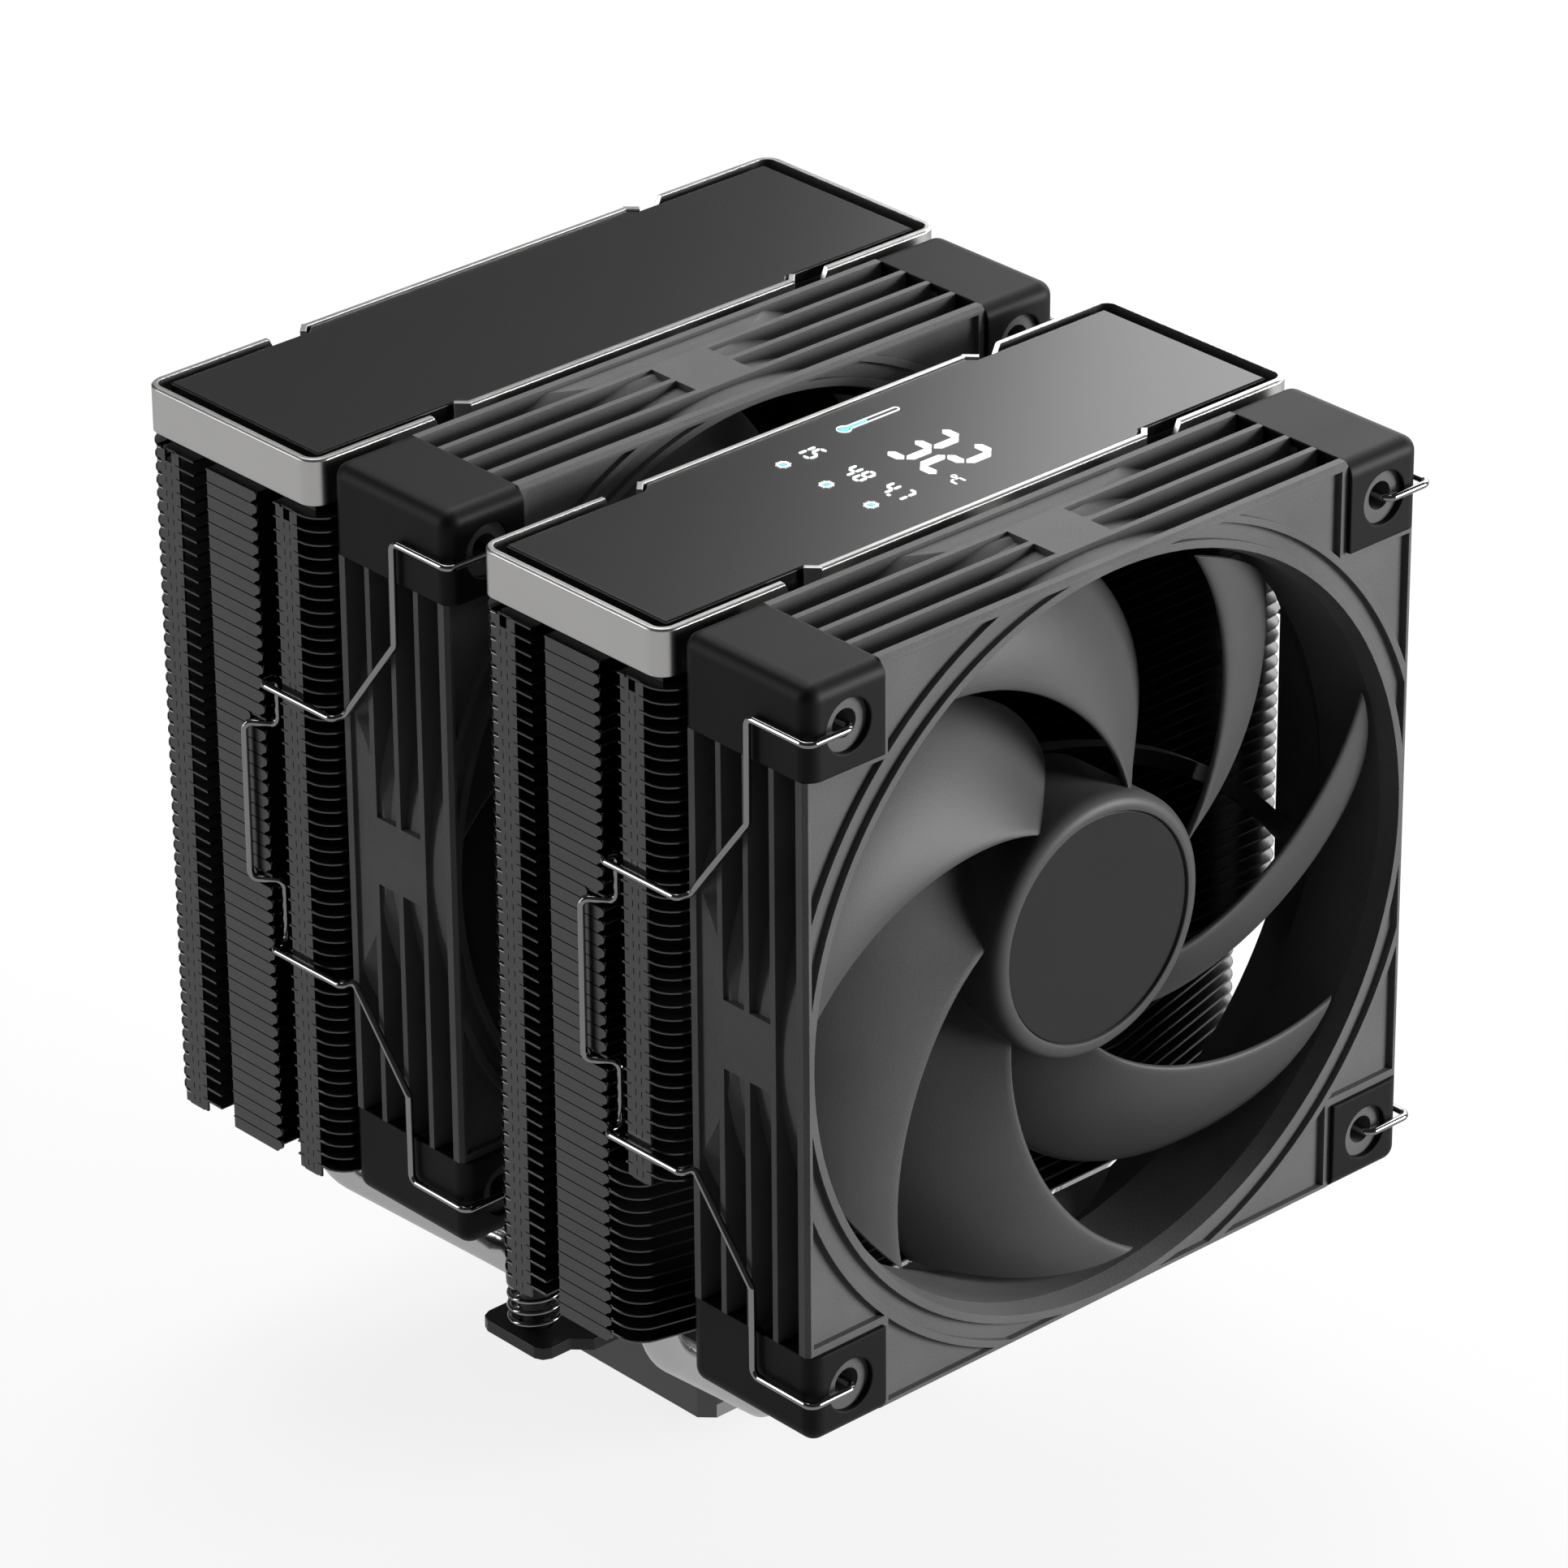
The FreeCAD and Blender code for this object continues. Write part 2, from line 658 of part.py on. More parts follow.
def strut_edge(radius):
    """One long edge of the first strut, at its front."""
    front = amount_of(f"{FRAME_BACK} - motor_base_thickness")
    start, end = STRUT_ARC_SPAN
    points = []
    for degrees in (start, (start + end) / 2, end):
        angle = math.radians(degrees)
        points.append(Vector(STRUT_ARC_CENTRE[0] + radius * math.cos(angle), front,
                             STRUT_ARC_CENTRE[1] + radius * math.sin(angle)))
    return Part.Arc(*points).toShape()


def make_struts():
    """Curved arms that carry the motor at the back of the duct."""
    outer = strut_edge(STRUT_ARC_RADIUS)
    inner = strut_edge(STRUT_ARC_RADIUS - size("strut_width"))
    ends = []
    for a, b in zip(outer.Vertexes, inner.Vertexes):
        ends.append(Part.makeLine(a.Point, b.Point))
    outline = Part.Wire(Part.__sortEdges__([outer, inner, *ends]))
    arm = Part.Face(outline).extrude(Vector(0, size("motor_base_thickness"), 0))
    reach = size("fan_side") / 2 - size("edge_chamfer")
    arm = arm.common(Part.makeBox(2 * reach, size("fan_depth"), 2 * reach, Vector(-reach, 0, -reach)))
    arms = []
    for k in range(STRUTS):
        turned = arm.copy()
        turned.rotate(Vector(0, 0, 0), Vector(0, 1, 0), 360.0 / STRUTS * k)
        arms.append(feature(f"strut_{k}", turned))
    return arms


def make_pads_master():
    pads = []
    blocks = corner_boxes("pad_block", "pad_side", "0", "fan_depth")
    doc.recompute()
    bosses = hole_cylinders("pad_bore", "boss_radius", "-1", "fan_depth + 1")
    for i, (sx, sz) in enumerate(CORNERS):
        soft = doc.addObject("Part::Fillet", f"pad_soft_{i}")
        soft.Base = blocks[i]
        edges = []
        for number, edge in enumerate(blocks[i].Shape.Edges, start=1):
            middle = edge.CenterOfMass
            inner_side = abs(middle.x) < size("fan_side") / 2 - size("pad_side") + 0.01
            inner_end = abs(middle.z) < size("fan_side") / 2 - size("pad_side") + 0.01
            if not inner_side and not inner_end:
                edges.append((number, size("pad_round"), size("pad_round")))
        soft.Edges = edges
        side = "pad_side - 1.2"
        middle = (f"{sx} * ((fan_side - pad_side) / 2 - 0.6)", "fan_depth / 2",
                  f"{sz} * ((fan_side - pad_side) / 2 - 0.6)")
        slot = centred_box(f"pad_slot_{i}", (side, "web_thickness", side), middle)
        pads.append(cut(f"pad_{i}", soft, bosses[i], slot))
    return group("corner_pads_master", *pads)


def blade_point(outward, along):
    """A point on a blade: outward runs 0 at the tip to 1 at the hub, along from lead to trail."""
    tip = size("blade_tip_radius")
    root = size("hub_radius") - 0.8
    radius = tip - (tip - root) * outward
    lead = 51.0 * outward - 20.0 * outward ** 2 + 25.0 * outward ** 3
    trail = 35.0 + 62.5 * outward
    angle = -math.radians(lead + (trail - lead) * along)
    front = 3.0 + 3.0 * outward
    back = 16.0 + 3.6 * outward
    camber = 1.9 - 0.75 * outward
    depth = front + (back - front) * along ** camber
    return Vector(radius * math.cos(angle), depth, radius * math.sin(angle))


BLADE_LEAD = 20.4
BLADE_STATIONS = 8


def make_blades():
    steps = [i / (BLADE_STATIONS - 1) for i in range(BLADE_STATIONS)]
    surface = Part.BSplineSurface()
    surface.interpolate([[blade_point(outward, along) for along in steps] for outward in steps])
    blade = surface.toShape().extrude(Vector(0, size("blade_thickness"), 0))
    blades = []
    count = int(size("blade_count"))
    for k in range(count):
        turned = blade.copy()
        turned.rotate(Vector(0, 0, 0), Vector(0, -1, 0), BLADE_LEAD - 360.0 / count * k)
        blades.append(turned)
    return feature("blades", Part.makeCompound(blades))


def make_rotor_master():
    body = doc.addObject("PartDesign::Body", "hub_cup")
    face = "(hub_front + label_recess)"
    inner = "(hub_radius - hub_wall)"
    profile = [("shaft_radius", face), ("label_radius + 0.1", face), ("label_radius + 0.1", "hub_front"),
               ("hub_radius - 1.2", "hub_front"), ("hub_radius", "hub_front + 1.2"),
               ("hub_radius", "hub_back"), (inner, "hub_back"), (inner, f"{face} + 1.8"),
               ("bearing_radius", f"{face} + 1.8"), ("bearing_radius", "tube_front - 0.3"),
               ("shaft_radius", "tube_front - 0.3")]
    outline = sketch(body, "hub_profile", "XY_Plane", profile)
    turned = body.newObject("PartDesign::Revolution", "hub_turned")
    turned.Profile = outline
    turned.ReferenceAxis = (outline, ["V_Axis"])
    turned.Angle = 360.0
    doc.recompute()
    return fuse("rotor_master", body, make_blades())


def make_stator(label):
    """Laminated core: a hub ring, radial teeth and pole shoes."""
    front = size("stator_front")
    back = size("stator_back")
    poles = int(size("stator_poles"))
    outer = size("stator_radius")
    way = Vector(0, 1, 0)
    start = Vector(0, front, 0)
    ring = Part.makeCylinder(outer, back - front, start, way)
    ring = ring.cut(Part.makeCylinder(outer - 1.6, back - front, start, way))
    hub = Part.makeCylinder(7.0, back - front, start, way)
    teeth = []
    gaps = []
    for k in range(poles):
        turn = 360.0 / poles * k
        tooth = Part.makeBox(outer - 6.0, back - front, 2.4, Vector(5.2, front, -1.2))
        tooth.rotate(Vector(0, 0, 0), way, turn)
        teeth.append(tooth)
        gap = Part.makeBox(4.0, back - front + 2, 1.2, Vector(outer - 3, front - 1, -0.6))
        gap.rotate(Vector(0, 0, 0), way, turn + 180.0 / poles)
        gaps.append(gap)
    core = ring.cut(gaps).fuse([hub] + teeth)
    core = core.cut(Part.makeCylinder(size("tube_radius"), back - front + 2, start - way, way))
    return feature(label, core.removeSplitter())


def make_coils(label):
    poles = int(size("stator_poles"))
    front = size("stator_front")
    back = size("stator_back")
    coils = []
    for k in range(poles):
        coil = Part.makeBox(5.6, back - front + 2.4, 3.8, Vector(7.4, front - 1.2, -1.9))
        hollow = Part.makeBox(5.6, back - front, 2.4, Vector(7.4, front, -1.2))
        coil = coil.cut(hollow)
        coil.rotate(Vector(0, 0, 0), Vector(0, 1, 0), 360.0 / poles * k)
        coils.append(coil)
    return feature(label, Part.makeCompound(coils))


def make_fan_masters():
    yoke_outer = "(hub_radius - hub_wall)"
    yoke_inner = "(hub_radius - hub_wall - yoke_wall)"
    magnet_inner = "(hub_radius - hub_wall - yoke_wall - magnet_wall)"
    face = "hub_front + label_recess"
    shaft_clip_front = "bearing_back + 0.3"
    return {
        "frame": make_frame_master(),
        "corner_pads": make_pads_master(),
        "rotor": make_rotor_master(),
        "hub_disc": disc("hub_disc_master", "label_radius", f"{face} - label_thickness", face),
        "motor_yoke": tube("motor_yoke_master", yoke_outer, yoke_inner,
                           "rotor_core_front", "rotor_core_back"),
        "magnet_ring": tube("magnet_ring_master", yoke_inner, magnet_inner,
                            "rotor_core_front + 1", "rotor_core_back"),
        "shaft": disc("shaft_master", "shaft_radius", face, "shaft_back"),
        "shaft_clip": tube("shaft_clip_master", "bearing_radius - 0.6", "shaft_radius",
                           shaft_clip_front, f"{shaft_clip_front} + 0.5"),
        "bearing_sleeve": tube("bearing_sleeve_master", "bearing_radius",
                               "shaft_radius + bearing_clearance", "bearing_front", "bearing_back"),
        "stator_core": make_stator("stator_core_master"),
        "stator_coils": make_coils("stator_coils_master"),
        "motor_board": tube("motor_board_master", "stator_radius - 0.6", "tube_radius",
                            "19.4", "20.6"),
    }


def make_fans():
    masters = make_fan_masters()
    for fan in ("front_fan", "middle_fan"):
        for piece, master in masters.items():
            placed = group(f"{fan}_{piece}", master)
            place(placed, ("0", f"{fan}_y", "fan_axis_z"))
            node(placed, f"{fan}_{piece}")


# ---------------------------------------------------------------------------
# Top covers
# ---------------------------------------------------------------------------
STRIP_END_X = 31.9
CAP_END_X = 39.4
CAP_FOOT_X = 36.8
RETURN_REACH = 1.8
TOP_PLATE = [("58.7", "16.8"), ("32.65", "16.8"), ("31.2", "18.25")]
COVERS = {"front": "front_tower_y", "rear": "rear_tower_y"}


def prism(points, way):
    """A closed outline swept along one direction."""
    return Part.Face(Part.makePolygon(points + points[:1])).extrude(way)


def make_band(label, tower_y):
    """Satin metal band: end caps and a middle strip that rise above a continuous foot."""
    wall = size("cover_wall")
    width = size("cover_width")
    depth = size("cover_depth")
    tall = size("cover_height")
    top = size("cover_top")
    foot = Vector(0, tower_y, top - tall)
    band = rounded_block(width, depth, tall, size("cover_corner"), foot)
    rim = [edge for edge in band.Edges if min(v.Z for v in edge.Vertexes) > top - 0.01]
    band = band.makeChamfer(0.3, rim)
    band = band.cut(rounded_block(width - 2 * wall, depth - 2 * wall, tall + 2,
                                  size("cover_corner") - wall, foot - Vector(0, 0, 1)))
    slot_floor = top - size("slot_depth")
    for side in (-1, 1):
        corners = [Vector(side * x, tower_y - depth, z) for x, z in
                   ((STRIP_END_X, slot_floor), (CAP_FOOT_X, slot_floor), (CAP_END_X, top + 1),
                    (STRIP_END_X, top + 1))]
        band = band.cut(prism(corners, Vector(0, 2 * depth, 0)))
    returns = []
    thin = 0.9 / math.sqrt(2)
    for sx in (-1, 1):
        for sy in (-1, 1):
            outline = [(STRIP_END_X - thin, depth / 2 - thin), (STRIP_END_X, depth / 2),
                       (STRIP_END_X + RETURN_REACH, depth / 2 - RETURN_REACH),
                       (STRIP_END_X + RETURN_REACH - thin, depth / 2 - RETURN_REACH - thin)]
            corners = [Vector(sx * x, tower_y + sy * y, slot_floor) for x, y in outline]
            returns.append(prism(corners, Vector(0, 0, top - slot_floor)))
    return node(feature(label, band.fuse(returns).removeSplitter()), label)


def make_top_plate(label, tower_alias):
    body = doc.addObject("PartDesign::Body", label)
    outline = sketch(body, label + "_outline", "XY_Plane", mirrored_outline(TOP_PLATE))
    pad(body, label + "_pad", outline, "top_plate_thickness")
    doc.recompute()
    slab = body.Tip
    top = max(range(len(slab.Shape.Faces)), key=lambda i: slab.Shape.Faces[i].CenterOfMass.z)
    eased = body.newObject("PartDesign::Chamfer", label + "_eased")
    eased.Base = (slab, [f"Face{top + 1}"])
    eased.Size = 0.25
    place(body, ("0", tower_alias, "cover_top - top_plate_drop - top_plate_thickness"))
    return node(body, label)


POSTS = [(-50.0, -9.5), (50.0, -9.5), (-50.0, 9.5), (50.0, 9.5)]
BOARD_POSTS = [(-36.0, 0.0), (36.0, 0.0)]


def make_tray(label, tower_alias):
    """Moulded tray under the top plate: plinth, ledge, upright wall and magnet posts."""
    body = doc.addObject("PartDesign::Body", label)
    floor = "(tray_floor - tray_bottom)"
    lid = "(cover_top - top_plate_drop - top_plate_thickness - tray_bottom)"
    ledge = rectangle("cover_width / 2 - cover_wall", "cover_depth / 2 - cover_wall")
    pad(body, label + "_plinth",
        sketch(body, label + "_plinth_outline", "XY_Plane",
               rectangle("cover_width / 2 - 2.2", "cover_depth / 2 - 2.2")), floor)
    doc.recompute()
    walls = mirrored_outline(TOP_PLATE)
    pad(body, label + "_wall", sketch(body, label + "_wall_outline", "XY_Plane", walls), lid)
    doc.recompute()
    hollow = [(f"({x}) - tray_wall", f"({y}) - tray_wall") for x, y in TOP_PLATE]
    opening = sketch(body, label + "_hollow_outline", "XY_Plane", mirrored_outline(hollow))
    opening.AttachmentOffset = FreeCAD.Placement(Vector(0, 0, 0), Rotation())
    opening.setExpression("AttachmentOffset.Base.z", formula(floor))
    hollowed = body.newObject("PartDesign::Pocket", label + "_hollow")
    hollowed.Profile = opening
    hollowed.Reversed = True
    bind(hollowed, "Length", lid)
    doc.recompute()
    posts = sketch(body, label + "_post_outline", "XY_Plane",
                   circles=[(x, y, "post_radius") for x, y in POSTS])
    pad(body, label + "_posts", posts, lid)
    doc.recompute()
    if label.startswith("front"):
        small = sketch(body, label + "_board_post_outline", "XY_Plane",
                       circles=[(x, y, "2.5") for x, y in BOARD_POSTS])
        pad(body, label + "_board_posts", small, f"{floor} + 0.8")
        doc.recompute()
    seats = sketch(body, label + "_magnet_outline", "XY_Plane",
                   circles=[(x, y, "magnet_radius") for x, y in POSTS])
    seats.AttachmentOffset = FreeCAD.Placement(Vector(0, 0, 0), Rotation())
    seats.setExpression("AttachmentOffset.Base.z", formula(f"{lid} - magnet_thickness"))
    seated = body.newObject("PartDesign::Pocket", label + "_magnet_seats")
    seated.Profile = seats
    seated.Reversed = True
    bind(seated, "Length", "magnet_thickness + 1")
    doc.recompute()
    rim = sketch(body, label + "_ledge_outline", "XY_Plane", ledge)
    rim.AttachmentOffset = FreeCAD.Placement(Vector(0, 0, 0), Rotation())
    rim.setExpression("AttachmentOffset.Base.z", formula("tray_ledge - tray_bottom"))
    pad(body, label + "_ledge", rim, "tray_floor - tray_ledge")
    doc.recompute()
    moulded = body.Tip
    rounded = body.newObject("PartDesign::Fillet", label + "_ledge_corners")
    chosen = []
    for number, edge in enumerate(moulded.Shape.Edges, start=1):
        point = edge.CenterOfMass
        reach = amount_of("cover_width / 2 - cover_wall")
        upright = abs(edge.Vertexes[0].Z - edge.Vertexes[-1].Z) > 0.5
        if upright and abs(abs(point.x) - reach) < 0.01:
            chosen.append(f"Edge{number}")
    rounded.Base = (moulded, chosen)
    rounded.Radius = size("cover_corner") - size("cover_wall")
    bind(rounded, "Radius", "cover_corner - cover_wall")
    place(body, ("0", tower_alias, "tray_bottom"))
    return node(body, label)


def make_cover_magnets(label, tower_alias):
    low = "cover_top - top_plate_drop - top_plate_thickness - magnet_thickness"
    magnets = []
    for i, (x, y) in enumerate(POSTS):
        magnets.append(cylinder(f"{label}_{i}", "magnet_radius", "magnet_thickness",
                                (x, f"{tower_alias} + ({y})", low), along_y=False))
    return node(group(label, *magnets), label)


def make_display_board():
    board = centred_box("display_board", ("84", "22", "1.6"),
                        ("0", "front_tower_y", "tray_floor + 0.8 + 0.8"))
    node(board, "display_board")
    shell = centred_box("socket_shell", ("9", "5.4", "1.6"),
                        ("34", "front_tower_y + 6", "tray_floor + 2.4 + 0.8"))
    mouth = centred_box("socket_mouth", ("7.4", "4.4", "1"),
                        ("35.6", "front_tower_y + 6", "tray_floor + 2.4 + 0.8"))
    node(cut("display_socket", shell, mouth), "display_socket")


# Seven-segment figures: which segments light for each figure.
# a top, b upper right, c lower right, d bottom, e lower left, f upper left, g middle.
SEGMENTS = {"1": "bc", "2": "abged", "3": "abgcd", "4": "fgbc", "5": "afgcd", "7": "abc", "8": "abcdefg",
            "C": "afed"}


def segment_outline(which, wide, tall, thick):
    """The six corners of one segment, in reading coordinates (right, up)."""
    half = thick / 2
    ends = {"a": ((0, tall), (wide, tall)), "g": ((0, tall / 2), (wide, tall / 2)),
            "d": ((0, 0), (wide, 0)), "b": ((wide, tall / 2), (wide, tall)),
            "c": ((wide, 0), (wide, tall / 2)), "f": ((0, tall / 2), (0, tall)),
            "e": ((0, 0), (0, tall / 2))}
    (right0, up0), (right1, up1) = ends[which]
    gap = thick * 0.16
    if up0 == up1:
        return [(right0 + gap, up0), (right0 + half + gap, up0 + half), (right1 - half - gap, up0 + half),
                (right1 - gap, up0), (right1 - half - gap, up0 - half), (right0 + half + gap, up0 - half)]
    return [(right0, up0 + gap), (right0 + half, up0 + half + gap), (right0 + half, up1 - half - gap),
            (right0, up1 - gap), (right0 - half, up1 - half - gap), (right0 - half, up0 + half + gap)]


# Readings: text, the place of the first figure's lower left corner, its width and height, its
# strokes' thickness and the step to the next figure. They run towards -Y, tops towards +X.
READINGS = [("32", 1.05, 2.6, 3.9, 10.8, 1.55, 6.75), ("C", 0.8, -10.9, 1.5, 1.7, 0.35, 0.0),
            ("15", -8.7, 12.1, 1.4, 3.4, 0.5, 2.35), ("48", -8.7, 2.0, 1.4, 3.4, 0.5, 2.6),
            ("47", -8.7, -5.9, 1.4, 3.4, 0.5, 3.1)]
FIGURE_HEIGHT = 0.12
CHIP_MARKS = [(-12.75, 9.5), (-12.75, 0.4), (-12.75, -8.9)]
THERMOMETER = (1.7, 11.9, 12.3)


def plaque(low_x, low_y, high_x, high_y):
    """A thin raised rectangle on the top plate; y counts from the front tower's middle."""
    level = size("cover_top") - size("top_plate_drop")
    return Part.makeBox(high_x - low_x, high_y - low_y, FIGURE_HEIGHT,
                        Vector(low_x, size("front_tower_y") + low_y, level))


def spot(x, y, radius):
    level = size("cover_top") - size("top_plate_drop")
    return Part.makeCylinder(radius, FIGURE_HEIGHT, Vector(x, size("front_tower_y") + y, level))


def chip_mark(x, y):
    """A square ring with short pins on each side."""
    ring = plaque(x - 0.75, y - 0.75, x + 0.75, y + 0.75)
    ring = ring.cut(plaque(x - 0.58, y - 0.58, x + 0.58, y + 0.58))
    pins = []
    for k in (-1, 0, 1):
        for side in (-1, 1):
            reach = sorted((side * 0.7, side * 1.08))
            pins.append(plaque(x + k * 0.45 - 0.08, y + reach[0], x + k * 0.45 + 0.08, y + reach[1]))
            pins.append(plaque(x + reach[0], y + k * 0.45 - 0.08, x + reach[1], y + k * 0.45 + 0.08))
    return ring.fuse(pins).removeSplitter()


def thermometer(wall, fill_to):
    """A bulb with a stem along X, drawn in by wall; the stem ends at fill_to."""
    bulb_x, _, y = THERMOMETER
    stem = plaque(bulb_x, y - 0.62 + wall, fill_to, y + 0.62 - wall)
    end = spot(fill_to, y, 0.62 - wall)
    return spot(bulb_x, y, 1.15 - wall).fuse([stem, end]).removeSplitter()


def make_display_figures():
    level = size("cover_top") - size("top_plate_drop")
    tower_y = size("front_tower_y")
    pieces = []
    for text, low_x, first_y, wide, tall, thick, step in READINGS:
        for place_number, figure in enumerate(text):
            start_y = tower_y + first_y - place_number * step
            for which in SEGMENTS[figure]:
                outline = segment_outline(which, wide, tall, thick)
                corners = [Vector(low_x + up, start_y - right, level) for right, up in outline]
                pieces.append(prism(corners, Vector(0, 0, FIGURE_HEIGHT)))
    pieces.append(plaque(-8.95, -8.45, -8.45, -7.95))
    pieces.append(spot(2.3, -10.1, 0.5).cut(spot(2.3, -10.1, 0.28)))
    for x, y in CHIP_MARKS:
        pieces.append(chip_mark(x, y))
    stem_end = THERMOMETER[1]
    pieces.append(thermometer(0.0, stem_end).cut(thermometer(0.2, stem_end)))
    node(feature("display_figures", Part.makeCompound(pieces)), "display_figures")
    marks = [plaque(x - 0.4, y - 0.4, x + 0.4, y + 0.4) for x, y in CHIP_MARKS]
    marks.append(thermometer(0.36, 6.0))
    node(feature("display_marks", Part.makeCompound(marks)), "display_marks")


def make_covers():
    for side, alias in COVERS.items():
        make_band(f"{side}_cover_band", size(alias))
        make_top_plate(f"{side}_top_plate", alias)
        make_tray(f"{side}_cover_tray", alias)
        make_cover_magnets(f"{side}_cover_magnets", alias)
    make_display_board()
    make_display_figures()


# ---------------------------------------------------------------------------
# Wire clips: each hooks into two corner holes of a fan and into the fins' groove
# ---------------------------------------------------------------------------
def clip_stations():
    """The clip's corners from top to bottom: across, behind the fan's front, height and bend radius."""
    gap = size("wire_radius") + size("wire_gap")
    hole = size("hole_pitch") / 2
    beside_fan = size("fan_side") / 2 + gap
    beside_fins = size("fin_width") / 2 + gap
    in_groove = size("fin_width") / 2 - 2.1
    handle = beside_fins + 0.1
    bend = size("wire_bend")
    gap_middle = size("fin_bottom") - size("fan_axis_z") + (size("fin_pitch") - size("fin_thickness")) / 2
    leg_top, leg_low = (gap_middle + size("fin_pitch") * k for k in HANDLE_FINS)
    return [(hole, 4.5, hole, 0),
            (hole, -gap, hole, bend),
            (beside_fan, -gap, hole, bend),
            (beside_fan, 11.4, hole, bend),
            (beside_fan, 11.5, 36.0, bend),
            (beside_fan, 23.4, 20.5, 0.9),
            (beside_fins, 24.2, 20.2, 0.9),
            (beside_fins, 40.3, 20.1, bend),
            (in_groove, 40.3, 20.1, bend),
            (in_groove, 40.3, leg_top, bend),
            (handle, 44.5, leg_top, bend),
            (handle, 44.5, leg_low, bend),
            (in_groove, 40.3, leg_low, bend),
            (in_groove, 40.3, -24.1, bend),
            (beside_fins, 40.3, -24.1, bend),
            (beside_fins, 24.2, -24.0, 0.9),
            (beside_fan, 23.4, -23.7, 0.9),
            (beside_fan, 11.5, -38.2, bend),
            (beside_fan, 11.4, -hole, bend),
            (beside_fan, -gap, -hole, bend),
            (hole, -gap, -hole, bend),
            (hole, 4.5, -hole, 0)]


def make_wire_clips():
    stations = clip_stations()
    for fan in ("front", "middle"):
        for side, hand in ((-1, "left"), (1, "right")):
            start = Vector(0, size(f"{fan}_fan_y"), size("fan_axis_z"))
            route = [start + Vector(side * x, y, z) for x, y, z, _ in stations]
            rod = bent_rod(route, size("wire_radius"), [row[3] for row in stations[1:-1]])
            node(feature(f"{fan}_{hand}_clip", rod), f"{fan}_{hand}_clip")


# ---------------------------------------------------------------------------
# Captive mounting screws with their springs and retaining rings
# ---------------------------------------------------------------------------
def make_captive_screw(hand, side):
    body = doc.addObject("PartDesign::Body", f"{hand}_mounting_screw")
    groove_top = "base_height"
    groove_low = "(base_height - 0.7)"
    profile = [("0", "thread_top"), ("thread_radius", "thread_top"), ("thread_radius", "screw_foot"),
               ("shank_radius", "screw_foot"), ("shank_radius", groove_low), ("neck_radius", groove_low),
               ("neck_radius", groove_top), ("shank_radius", groove_top), ("shank_radius", "spring_top"),
               ("4.4", "spring_top"), ("4.4", "spring_top + 2.6"), ("3.8", "spring_top + 3.2"),
               ("0", "spring_top + 3.2")]
    outline = sketch(body, f"{hand}_screw_profile", "XZ_Plane", profile)
    turned = body.newObject("PartDesign::Revolution", f"{hand}_screw_turned")
    turned.Profile = outline
    turned.ReferenceAxis = (outline, ["V_Axis"])
    turned.Angle = 360.0
    doc.recompute()
    for i, (half_x, half_y) in enumerate((("3", "0.5"), ("0.5", "3"))):
        bar = sketch(body, f"{hand}_screw_slot_{i}", "XY_Plane", rectangle(half_x, half_y))
        bar.AttachmentOffset = FreeCAD.Placement(Vector(0, 0, 0), Rotation())
        bar.setExpression("AttachmentOffset.Base.z", formula("spring_top + 1.4"))
        slot = body.newObject("PartDesign::Pocket", f"{hand}_screw_slot_cut_{i}")
        slot.Profile = bar
        slot.Reversed = True
        bind(slot, "Length", "2.4")
        doc.recompute()
    place(body, (f"{side} * screw_spacing / 2", "0", "0"))
    node(body, f"{hand}_mounting_screw")
    start = ("0", "0", "base_height - 0.63")
    ring = cut(f"{hand}_retaining_ring",
               cylinder(f"{hand}_ring_outer", "3.6", "0.6", start, along_y=False),
               cylinder(f"{hand}_ring_bore", "neck_radius + 0.05", "0.6", start, along_y=False))
    place(ring, (f"{side} * screw_spacing / 2", "0", "0"))
    node(ring, f"{hand}_retaining_ring")
    make_screw_spring(hand, side)


SPRING_TURNS = 3.5
SPRING_STEPS = 12


def make_screw_spring(hand, side):
    wire = size("spring_wire")
    radius = size("spring_radius")
    low = size("base_height") + size("bar_thickness") + wire + 0.03
    high = size("spring_top") - wire - 0.03
    centre = Vector(side * size("screw_spacing") / 2, 0, 0)
    steps = int(SPRING_TURNS * SPRING_STEPS) + 1
    line = []
    for k in range(steps):
        turn = 2 * math.pi * k / SPRING_STEPS
        rise = low + (high - low) * k / (steps - 1)
        line.append(centre + Vector(radius * math.cos(turn), radius * math.sin(turn), rise))
    curve = Part.BSplineCurve()
    curve.interpolate(line)
    start = line[0]
    left, right = start - Vector(wire, 0, 0), start + Vector(wire, 0, 0)
    upper = Part.Arc(left, start + Vector(0, 0, wire), right).toShape()
    lower = Part.Arc(right, start - Vector(0, 0, wire), left).toShape()
    coil = Part.Wire([curve.toShape()]).makePipeShell([Part.Wire([upper, lower])], True, True)
    node(feature(f"{hand}_screw_spring", coil), f"{hand}_screw_spring")


# ---------------------------------------------------------------------------
# Build, check and export
# ---------------------------------------------------------------------------
def check_document():
    problems = []
    for thing in doc.Objects:
        if "Invalid" in thing.State or "Error" in thing.State:
            problems.append(f"{thing.Name}: {thing.State}")
    for piece in NODES:
        shape = piece.Shape
        if shape.isNull() or not shape.isValid() or not shape.Solids:
            problems.append(f"{piece.Label}: bad shape")
    if problems:
        raise RuntimeError("; ".join(problems))


